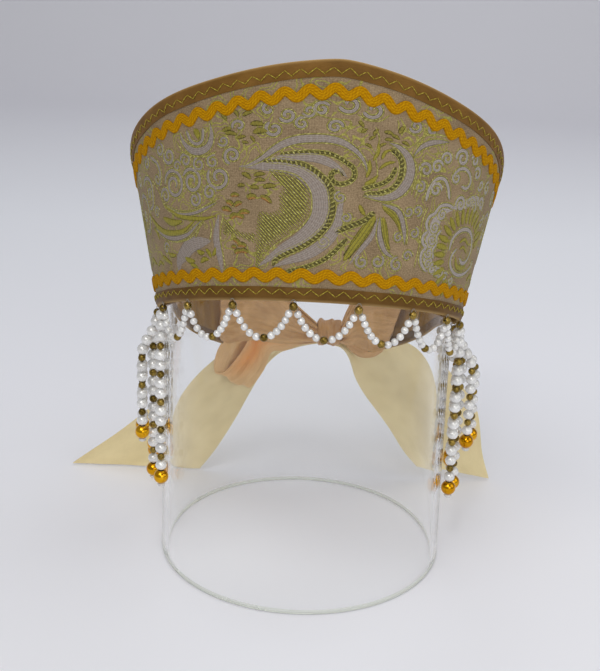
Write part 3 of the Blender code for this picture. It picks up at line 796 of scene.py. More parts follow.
def brocade_look():
    """Ground of the brocade: grainy tan weave, with a gold filigree woven between the figures."""
    look = Look("brocade_ground", (0.36, 0.28, 0.17), 0.75)
    place = look.coordinates("UV")
    slow = look.noise(place, 0.06, 2.0)
    grain = look.noise(place, 1.25, 2.0, 0.75)
    threads = woven(look, place, 0.95, 0.8)
    tone = look.weighted((slow, 0.3), (grain, 0.55), (threads, 0.08))
    ground = look.ramp(tone, (0.30, (0.160, 0.110, 0.058)), (0.60, (0.385, 0.280, 0.164)))
    vines = look.noise(place, 0.13, 0.6, 0.4)
    curls = look.calculate("MAXIMUM", look.near(vines, 0.45, 0.018), look.near(vines, 0.55, 0.018))
    patches = look.calculate("GREATER_THAN", look.noise(place, 0.04, 1.0), 0.50)
    gold = look.calculate("MULTIPLY", curls, patches)
    # Olive to gold along the filigree: painted glints of the metal thread
    painted_glints = look.noise(place, 1.0, 2.0, 0.8)
    lurex = look.ramp(painted_glints, (0.36, (0.185, 0.160, 0.045)), (0.62, (0.40, 0.365, 0.085)))
    look.colour(look.mix(gold, ground, lurex))
    look.bump(threads, 0.05 * MM, 0.3)
    look.bump(grain, 0.16 * MM, 0.6)
    look.bump(gold, 0.12 * MM, 0.6)
    look.set(Specular_IOR_Level=0.15, Sheen_Weight=0.04, Sheen_Roughness=0.5)
    return look.material


def thread_look(name, dark, light, painted_highlight, roughness=0.4, period=1.1):
    """Twisted thread along a line: slanting strands of a period in mm, with a painted highlight colour here
    and there.
    """
    look = Look(name, light, roughness)
    place = look.coordinates("UV")
    strands = look.waves(look.scaled(place, (1.0 / period, 1.0, 1.0), 0.9), WAVE, "X", 1.5)
    grain = look.noise(look.scaled(place, (0.55, 0.9, 1.0)), 0.9, 2.0, 0.8)
    tone = look.weighted((strands, 0.12), (grain, 0.88))
    look.colour(look.ramp(tone, (0.34, dark), (0.52, light), (0.74, painted_highlight)))
    look.rough(look.ramp(grain, (0.3, roughness), (0.7, min(roughness + 0.2, 1.0))))
    look.bump(strands, 0.08 * MM, 0.4)
    look.set(Specular_IOR_Level=0.25)
    return look.material


def silk_look(name, dark, light, period, share):
    """Leaves and petals of silk: a share of thread lines across them and darker edges; period in mm."""
    look = Look(name, light, 0.55)
    place = look.coordinates("UV")
    lines = look.noise(look.scaled(place, (1.0 / period, 0.3, 1.0)), 1.0, 1.0)
    grain = look.noise(place, 1.1, 2.0, 0.75)
    tone = look.calculate("ADD", look.weighted((lines, share), (grain, 0.8 - share)), 0.16)
    rim = look.calculate("MULTIPLY", look.value("rim"), 0.22)
    look.colour(look.ramp(look.calculate("SUBTRACT", tone, rim), (0.32, dark), (0.60, light)))
    look.bump(lines, 0.10 * MM, share)
    look.set(Specular_IOR_Level=0.2)
    return look.material


def ribbed_look(name, dark, light, rib, share):
    """Raised satin figure: fine threads along it and a share of paler couching threads across it."""
    look = Look(name, light, 0.6)
    place = look.coordinates("UV")
    across = look.waves(look.scaled(place, (1.0 / 2.3, 1.0, 1.0)), WAVE, "X", 1.2)
    along = look.waves(look.scaled(place, (1.0, 1.0 / 0.9, 1.0)), WAVE, "Y", 1.0)
    grain = look.noise(place, 1.3, 2.0, 0.7)
    tone = look.weighted((grain, 0.75), (along, 0.2))
    body = look.ramp(tone, (0.28, dark), (0.68, light))
    ribs = look.ramp(across, (0.80, 0.0), (0.97, share))
    look.colour(look.mix(ribs, body, rib))
    look.bump(across, 0.16 * MM, 0.2 + share)
    look.bump(along, 0.05 * MM, 0.5)
    look.set(Specular_IOR_Level=0.2)
    return look.material


def satin_look(name, dark, light, roughness, fold=None, sheen=0.1, shine=0.3, wrinkled=0.0):
    """Satin whose threads run one way, with a colour painted over it where the fold value is high, and how
    crumpled it is.
    """
    look = Look(name, light, roughness)
    place = look.coordinates("UV")
    slow = look.noise(place, 0.07, 3.0)
    streaks_and_painted_shade = look.noise(look.scaled(place, (0.5, 6.0, 1.0)), 0.9, 3.0, 0.6)
    wrinkles_and_painted_shade = look.noise(look.scaled(place, (0.07, 0.30, 1.0)), 1.0, 2.0, 0.6)
    # Tone from the dark to the light colour out of slow clouds, lengthwise streak noise and wrinkle noise:
    # painted shade of soft folds; the streak and wrinkle noises are bumps as well
    tone = look.weighted((slow, 0.6 - 0.4 * wrinkled), (streaks_and_painted_shade, 0.4), (wrinkles_and_painted_shade, 0.4 * wrinkled))
    colour = look.ramp(tone, (0.3, dark), (0.7, light))
    # The fold colour is a painted highlight on a binding's folded edge and painted orange shade in a loop's
    # hollow
    if fold is not None:
        colour = look.mix(look.value("fold"), colour, fold)
    look.colour(colour)
    look.bump(wrinkles_and_painted_shade, 1.6 * MM, wrinkled)
    look.bump(streaks_and_painted_shade, 0.05 * MM, 0.35)
    look.set(Sheen_Weight=sheen, Sheen_Roughness=0.35, Specular_IOR_Level=shine)
    return look.material


def braid_look():
    """Rickrack: soft flat braid of cords with a slanting plait."""
    look = Look("rickrack_braid", (0.72, 0.36, 0.006), 0.85)
    place = look.coordinates("UV")
    plait = look.waves(look.scaled(place, (1.0 / 1.3, 1.0 / 1.1, 1.0), 0.55), WAVE, "X", 2.5)
    grain = look.noise(look.scaled(place, (0.35, 1.5, 1.0)), 1.2, 3.0, 0.7)
    # The crown value makes the cords' tops lighter and the grooves between them darker: painted highlight
    # and painted shade
    tone = look.weighted((plait, 0.14), (grain, 0.70), (look.value("crown"), 0.2))
    look.colour(look.ramp(tone, (0.25, (0.27, 0.115, 0.001)), (0.55, (0.43, 0.200, 0.001)),
                          (0.85, (0.62, 0.335, 0.003))))
    look.bump(plait, 0.08 * MM, 0.3)
    look.bump(grain, 0.10 * MM, 0.5)
    look.set(Specular_IOR_Level=0.06)
    return look.material


def pearl_look(name, dark, light):
    """Pearl: half mirror-like lacquer under a glossy coat, its tone drifting a little."""
    look = Look(name, light, 0.28, 0.3)
    place = look.coordinates("Object")
    cloud = look.noise(place, 200.0, 1.0)
    tone = look.weighted((cloud, 0.3), (look.value("tone"), 0.5))
    look.colour(look.ramp(tone, (0.15, dark), (0.6, light)))
    look.rough(look.ramp(cloud, (0.3, 0.22), (0.7, 0.30)))
    look.bump(cloud, 0.02 * MM, 0.15)
    look.set(Coat_Weight=1.0, Coat_Roughness=0.10, Coat_IOR=1.6)
    return look.material


def metal_look(name, dark, light, roughness, metallic=1.0, grain=900.0):
    """Plated bead with faint dents and a tarnish that varies in patches and from bead to bead."""
    look = Look(name, light, roughness, metallic)
    place = look.coordinates("Object")
    cloud = look.noise(place, grain, 3.0, 0.6)
    tone = look.weighted((cloud, 0.8), (look.value("tone"), 0.3))
    look.colour(look.ramp(tone, (0.3, dark), (0.75, light)))
    look.rough(look.ramp(cloud, (0.3, roughness), (0.7, roughness + 0.15)))
    look.bump(cloud, 0.08 * MM, 0.4)
    return look.material


def glass_look():
    """Clear glass that lets the lamps' light through to what stands behind it."""
    look = Look("clear_glass_clean", (0.985, 0.988, 0.984), 0.0)
    look.set(Transmission_Weight=1.0, IOR=1.24)
    place = look.coordinates("Object")
    ripple = look.noise(place, 14.0, 1.0)
    look.bump(ripple, 0.35 * MM, 0.25)
    clear = look.nodes.new("ShaderNodeBsdfTransparent")
    clear.inputs["Color"].default_value = (0.955, 0.958, 0.955, 1.0)
    paths = look.nodes.new("ShaderNodeLightPath")
    joint = look.nodes.new("ShaderNodeMixShader")
    output = next(node for node in look.nodes if node.type == "OUTPUT_MATERIAL")
    look.links.new(paths.outputs["Is Shadow Ray"], joint.inputs["Fac"])
    look.links.new(look.shader.outputs["BSDF"], joint.inputs[1])
    look.links.new(clear.outputs["BSDF"], joint.inputs[2])
    look.links.new(joint.outputs["Shader"], output.inputs["Surface"])
    return look.material


def foot_look():
    """Polished foot of the glass, a little green."""
    look = Look("foot_glass", (0.80, 0.84, 0.76), 0.25)
    cloud = look.noise(look.coordinates("Object"), 8.0, 1.0)
    look.rough(look.ramp(cloud, (0.3, 0.22), (0.7, 0.30)))
    look.set(Transmission_Weight=0.6, IOR=1.3, Specular_IOR_Level=0.3)
    return look.material


# The band


def band_shell(outer, inner, rows, low_inset, high_inset):
    """Closed wall between two offsets, from wing to wing."""
    angles = np.linspace(-WING_END, WING_END, BAND_COLUMNS)
    low = low_height(angles) + low_inset
    high = top_height(angles) - high_inset
    shares = np.linspace(0.0, 1.0, rows)
    heights = low[:, None] + (high - low)[:, None] * shares
    around = np.broadcast_to(angles[:, None], heights.shape)
    rings = np.concatenate([on_band(around, heights, outer),
                            on_band(around, heights, inner)[:, ::-1]], axis=1)
    place = paired(arc_at(angles)[:, None], heights) / MM
    uv = np.concatenate([place, place[:, ::-1]], axis=1)
    return closed(rings, uv)


def crown_cloth():
    part = band_shell(CLOTH_OUTER, CLOTH_INNER, CLOTH_ROWS, EDGE_INSET, EDGE_INSET)
    piece("crown_brocade", [part], [brocade_look()], "brocade", "crown_band", sharp=50.0)


def crown_lining():
    part = band_shell(LINING_OUTER, LINING_INNER, LINING_ROWS, EDGE_INSET, EDGE_INSET)
    piece("crown_lining", [part], [lining_look()], "brocade", sharp=50.0)


def lining_seam():
    """Upright stitched seam on the inner face of the right wing."""
    heights = np.linspace(*SEAM_HEIGHTS, 24)
    around = np.full(len(heights), SEAM_ANGLE)
    points = on_band(around, heights, LINING_INNER - 0.2 * SEAM_RADIUS)
    look = thread_look("seam_thread", (0.060, 0.034, 0.004), (0.165, 0.105, 0.012), (0.27, 0.19, 0.03), 0.6)
    piece("lining_seam", [tube(points, SEAM_RADIUS, out_of_band(around, heights), 8)], [look], "brocade")


def binding(name, node, edge_height, direction, width, stitch, shade=1.0):
    """Bias binding folded over an edge: direction is 1 where it opens upward."""
    angles = np.linspace(-WING_END, WING_END, BINDING_COLUMNS)
    edge = edge_height(angles)
    arc = arc_at(angles)
    outer_foot = CLOTH_OUTER + BINDING_CLEAR
    inner_foot = LINING_INNER - BINDING_CLEAR
    thick = BINDING_THICK
    middle = 0.5 * (CLOTH_OUTER + LINING_INNER)
    half = 0.5 * (CLOTH_OUTER - LINING_INNER)
    # The fold column is 1 along the folded edge, where the satin gets a painted highlight
    #               offset                    rise from the edge  fold
    outline = [(outer_foot + thick * 0.9, width, 0.0),
               (outer_foot + thick + 0.18 * MM, width - 0.9 * MM, 0.0),
               (outer_foot + thick + 0.42 * MM, 0.66 * width, 0.0),
               (outer_foot + thick + 0.5 * MM, 0.4 * width, 0.0),
               (outer_foot + thick + 0.42 * MM, 0.22 * width, 0.0),
               (middle + half + 0.62 * MM, 1.0 * MM, 0.22),
               (middle + half + 0.45 * MM, 0.5 * MM, 0.6),
               (middle + half * 0.75, 0.12 * MM, 1.0),
               (middle, 0.0, 1.0),
               (middle - half * 0.75, 0.12 * MM, 0.9),
               (middle - half - 0.45 * MM, 0.5 * MM, 0.5),
               (middle - half - 0.62 * MM, 1.0 * MM, 0.2),
               (inner_foot - thick - 0.35 * MM, 0.3 * width, 0.0),
               (inner_foot - thick - 0.3 * MM, 0.6 * width, 0.0),
               (inner_foot - thick - 0.1 * MM, width - 0.9 * MM, 0.0),
               (inner_foot - thick * 0.9, width, 0.0),
               (inner_foot, width - 0.05 * MM, 0.0),
               (inner_foot, 0.5 * width, 0.0),
               (inner_foot + 0.05 * MM, 1.1 * MM, 0.0),
               (outer_foot - 0.05 * MM, 1.1 * MM, 0.0),
               (outer_foot, 0.5 * width, 0.0),
               (outer_foot, width - 0.05 * MM, 0.0)]
    offsets, rises, folds = np.array(outline).T
    # The cloth puckers a little where the stitching pulls it down
    phase = 2.0 * math.pi * arc[:, None] / STITCH_PERIOD
    near = np.exp(-((rises - 0.5 * (stitch[0] + stitch[1])) / (1.6 * MM)) ** 2)
    outside = (offsets > middle).astype(float)
    pucker = BINDING_PUCKER * np.cos(2.0 * phase) * near * outside
    place = arc[:, None]
    drift = BINDING_DRIFT * np.sin(place / (9.0 * MM) + 2.0 * np.sin(place / (31.0 * MM)))
    slow, quick = BINDING_WANDER
    wander = slow * np.sin(place / (14.0 * MM)) + quick * np.sin(place / (5.3 * MM) + 1.0)
    at_foot = np.clip(rises / width, 0.0, 1.0) ** 4
    heights = edge[:, None] + direction * (rises + wander * at_foot)
    rings = on_band(angles[:, None], heights, offsets + pucker + drift * outside * near)
    along = np.concatenate([[0.0], np.cumsum(np.hypot(np.diff(offsets), np.diff(rises)))])
    # fold is the painted highlight of the folded edge; shade darkens all three colours of the lower
    # binding: painted shade
    dark, light, fold = (tuple(shade * level for level in colour) for colour in BINDING_COLOURS)
    satin = satin_look(name + "_satin", dark, light, 0.5, fold, sheen=0.0, shine=0.09)
    part = closed(rings, paired(place / MM, along / MM), fold=folds)
    piece(name, [part], [satin], "satin_binding", node, sharp=70.0)


def zigzag(edge_height, direction, stitch, moved):
    """Zigzag stitches, each arm a short thread that dips into the cloth at both ends."""
    middle = 0.5 * (stitch[0] + stitch[1])
    angles, places = even_angles(lambda a: edge_height(a) + direction * middle, 0.5 * STITCH_PERIOD,
                                 RICKRACK_END, moved)
    parts = []
    surface = CLOTH_OUTER + BINDING_CLEAR + BINDING_THICK + STITCH_LIFT
    for index, (start, end) in enumerate(zip(angles, angles[1:])):
        turn = round(places[index] / (0.5 * STITCH_PERIOD)) % 2
        ends = stitch if turn else stitch[::-1]
        rise_from, rise_to = (rise + STITCH_WANDER * RANDOM.uniform(-1.0, 1.0) for rise in ends)
        share = np.linspace(-0.03, 1.03, 9) + 0.05 * RANDOM.uniform(-1.0, 1.0)
        around = start + (end - start) * share
        rise = rise_from + (rise_to - rise_from) * share
        lift = STITCH_RADIUS * (1.1 - 2.6 * np.abs(2.0 * share - 1.0) ** 6)
        height = edge_height(around) + direction * rise
        points = on_band(around, height, surface + lift)
        thick = STITCH_RADIUS * (1.0 + 0.12 * RANDOM.uniform(-1.0, 1.0))
        parts.append(tube(points, thick, out_of_band(around, height)))
    return parts


def stitching():
    parts = zigzag(top_height, -1.0, TOP_STITCH, TOP_STITCH_START)
    parts += zigzag(low_height, 1.0, BOTTOM_STITCH, 0.0)
    look = thread_look("zigzag_thread", (0.20, 0.140, 0.010), (0.36, 0.270, 0.026), (0.64, 0.53, 0.09), 0.5)
    piece("zigzag_stitching", parts, [look], "yellow_rickrack")


def upper_height(angle):
    return top_height(angle) - UPPER_BELOW_TOP


def lower_height(angle):
    return low_height(angle) + LOWER_ABOVE_EDGE


def rickrack(name, node, height, swing, phase_at_front):
    """Wavy braid of cords sewn flat on the cloth."""
    angles, places = even_angles(height, RICKRACK_PERIOD / RICKRACK_COLUMNS, RICKRACK_END)
    phase = 2.0 * math.pi * places / RICKRACK_PERIOD + phase_at_front
    centre = height(angles) + swing * np.sin(phase)
    slope = np.arctan(2.0 * math.pi * swing / RICKRACK_PERIOD * np.cos(phase))
    degree = np.linalg.norm(on_band(angles + 1.0, centre, 0.0) - on_band(angles, centre, 0.0), axis=1)
    across = np.linspace(1.0, -1.0, 6 * RICKRACK_CORDS + 1)
    cord = np.abs(np.sin(0.5 * math.pi * RICKRACK_CORDS * (across + 1.0))) ** 0.7
    rim = np.sqrt(np.clip(1.0 - np.abs(across) ** 6, 0.0, 1.0))
    top = RICKRACK_LOW + RICKRACK_BODY * rim + RICKRACK_CORD * cord * rim
    back = across[::-8]
    shares = np.concatenate([across, back])
    offsets = np.concatenate([top, np.full(len(back), RICKRACK_LOW)])
    # crown is 1 on the tops of the cords and 0 between them; the braid's look paints the tops lighter and
    # the grooves darker: painted highlight and shade
    crown = np.concatenate([cord * rim, np.zeros(len(back))])
    half = 0.5 * RICKRACK_TAPE
    around = angles[:, None] - (half * np.sin(slope) / degree)[:, None] * shares
    heights = centre[:, None] + (half * np.cos(slope))[:, None] * shares
    rings = on_band(around, heights, offsets)
    part = closed(rings, paired(places[:, None] / MM, shares * half / MM), crown=crown)
    piece(name, [part], [braid_look()], "yellow_rickrack", node)


# Figures of the brocade


def smooth_line(points, spacing=0.9, closed_line=False):
    """Points close together on a smooth curve through a few given ones."""
    points = np.asarray(points, float)
    if closed_line:
        padded = np.concatenate([points[-1:], points, points[:2]])
    else:
        padded = np.concatenate([[2 * points[0] - points[1]], points, [2 * points[-1] - points[-2]]])
    made = []
    for before, start, end, after in zip(padded, padded[1:], padded[2:], padded[3:]):
        count = max(int(np.linalg.norm(end - start) / spacing), 1)
        made.append(curve_between(before, start, end, after, count))
    made.append(padded[-2:-1])
    return np.concatenate(made)


def curl(centre, radius, start, turns, inner=0.25):
    """Spiral that winds inward from a radius; turns is negative where it winds clockwise."""
    count = max(int(abs(turns) * 12), 6)
    share = np.linspace(0.0, 1.0, count)
    turn = np.radians(start) + 2.0 * math.pi * turns * share
    size = radius * (1.0 + (inner - 1.0) * share)
    return np.stack([centre[0] + size * np.cos(turn), centre[1] + size * np.sin(turn)], -1)


# Kinds of stroke: material, width in mm, how proud it stands in mm and where it tapers
#                 material  width  proud  taper
STROKE_KINDS = {"gold": (0, 0.75, 0.30, "ends"),
                "shade": (1, 1.25, 0.12, "ends"),
                "dark": (1, 2.0, 0.22, "ends"),
                "band": (5, 2.6, 0.24, "ends"),
                "fill": (2, 8.0, 0.20, "both"),
                "leaf": (3, 3.4, 0.30, "leaf"),
                "petal": (7, 4.2, 0.32, "leaf"),
                "pale": (8, 2.6, 0.24, "ends"),
                "cloud": (8, 7.0, 0.10, "both"),
                "vein": (1, 0.7, 0.42, "ends"),
                "ember": (4, 1.6, 0.40, "leaf"),
                "hatch": (6, 0.74, 0.22, "ends")}
# How much wider scrolls and leaves are drawn than charted
SCROLL_FULLNESS = 1.12
LEAF_FULLNESS = 1.25
# Figures end this far, in mm, from the lower and the top edge, under the bindings
CLEAR_OF_LOW = 6.2
CLEAR_OF_TOP = 7.6
# Widths in mm under which a stroke has 3 or 5 points across it, instead of 9
THIN_STROKE = 0.8
MIDDLING_STROKE = 3.0
# Depth in mm of a stroke's edges in the cloth, and of the keel that closes it below
STROKE_SUNK = 0.04
STROKE_KEEL = 0.25


def taper(kind, share):
    if kind == "leaf":
        return np.clip(np.sin(math.pi * share ** 0.85), 0.0, 1.0) ** 0.55
    if kind == "both":
        return np.clip(np.sin(math.pi * share), 0.0, 1.0) ** 0.8
    return np.clip(np.minimum(share, 1.0 - share) * 12.0 + 0.25, 0.0, 1.0) ** 0.7


def stroke(kind, line, width=None):
    """Raised figure along a line of places and heights in mm, cut off where trimming covers it."""
    material, usual, proud, tapering = STROKE_KINDS[kind]
    width = usual if width is None else width
    line = np.asarray(line, float)
    if len(line) < 3:
        line = smooth_line(line)
    arc, height = line[:, 0], line[:, 1]
    angle = angle_at(arc * MM)
    low = low_height(angle) / MM + CLEAR_OF_LOW
    high = top_height(angle) / MM - CLEAR_OF_TOP
    kept = (height > low) & (height < high) & (np.abs(angle) < WING_END - 0.5)
    share = np.linspace(0.0, 1.0, len(line))
    side = sideways(line)
    half = 0.5 * width * taper(tapering, share) + 0.03
    if width < MIDDLING_STROKE:
        across = np.linspace(-1.0, 1.0, 3 if width < THIN_STROKE else 5)
        crown = np.sqrt(np.clip(1.0 - across ** 2, 0.0, 1.0))
    else:
        across = np.linspace(-1.0, 1.0, 9)
        crown = 1.0 - np.abs(across) ** 5
    shares = np.concatenate([across, [0.0]])
    lift = np.concatenate([crown * proud - STROKE_SUNK, [-STROKE_KEEL]])
    parts = []
    runs = np.flatnonzero(np.diff(np.concatenate([[0], kept.astype(int), [0]])))
    for first, last in zip(runs[::2], runs[1::2]):
        if last - first < 2:
            continue
        keep = slice(first, last)
        where = line[keep, None] + side[keep, None] * (half[keep, None] * shares)[..., None]
        rings = on_band(angle_at(where[..., 0] * MM), where[..., 1] * MM, CLOTH_OUTER + lift * MM)
        run = lengths_of(line)[keep, None] + RANDOM.uniform(0.0, 90.0)
        uv = paired(run, half[keep, None] * shares)
        parts.append(closed(rings, uv, material, rim=np.abs(shares) ** 3))
    return parts


def hatching(outline, spacing, turn):
    """Parallel stitches that fill an outline of places and heights in mm."""
    outline = smooth_line(outline, 1.0, closed_line=True)
    cos, sin = math.cos(turn), math.sin(turn)
    turned_outline = outline @ np.array([[cos, -sin], [sin, cos]])
    x, y = turned_outline[:, 0], turned_outline[:, 1]
    after_x, after_y = np.roll(x, -1), np.roll(y, -1)
    parts = []
    for level in np.arange(y.min() + 0.5 * spacing, y.max(), spacing):
        crossing = (y > level) != (after_y > level)
        share = (level - y[crossing]) / (after_y - y)[crossing]
        cut = np.sort(x[crossing] + share * (after_x - x)[crossing])
        for start, end in zip(cut[::2], cut[1::2]):
            if end - start < SHORTEST_HATCH:
                continue
            places = np.linspace(start, end, max(int((end - start) / 3.0), 2) + 1)
            rows = np.stack([places, np.full(len(places), level)], -1) @ np.array([[cos, sin], [-sin, cos]])
            parts += stroke("shade", rows) + stroke("hatch", rows)
    return parts


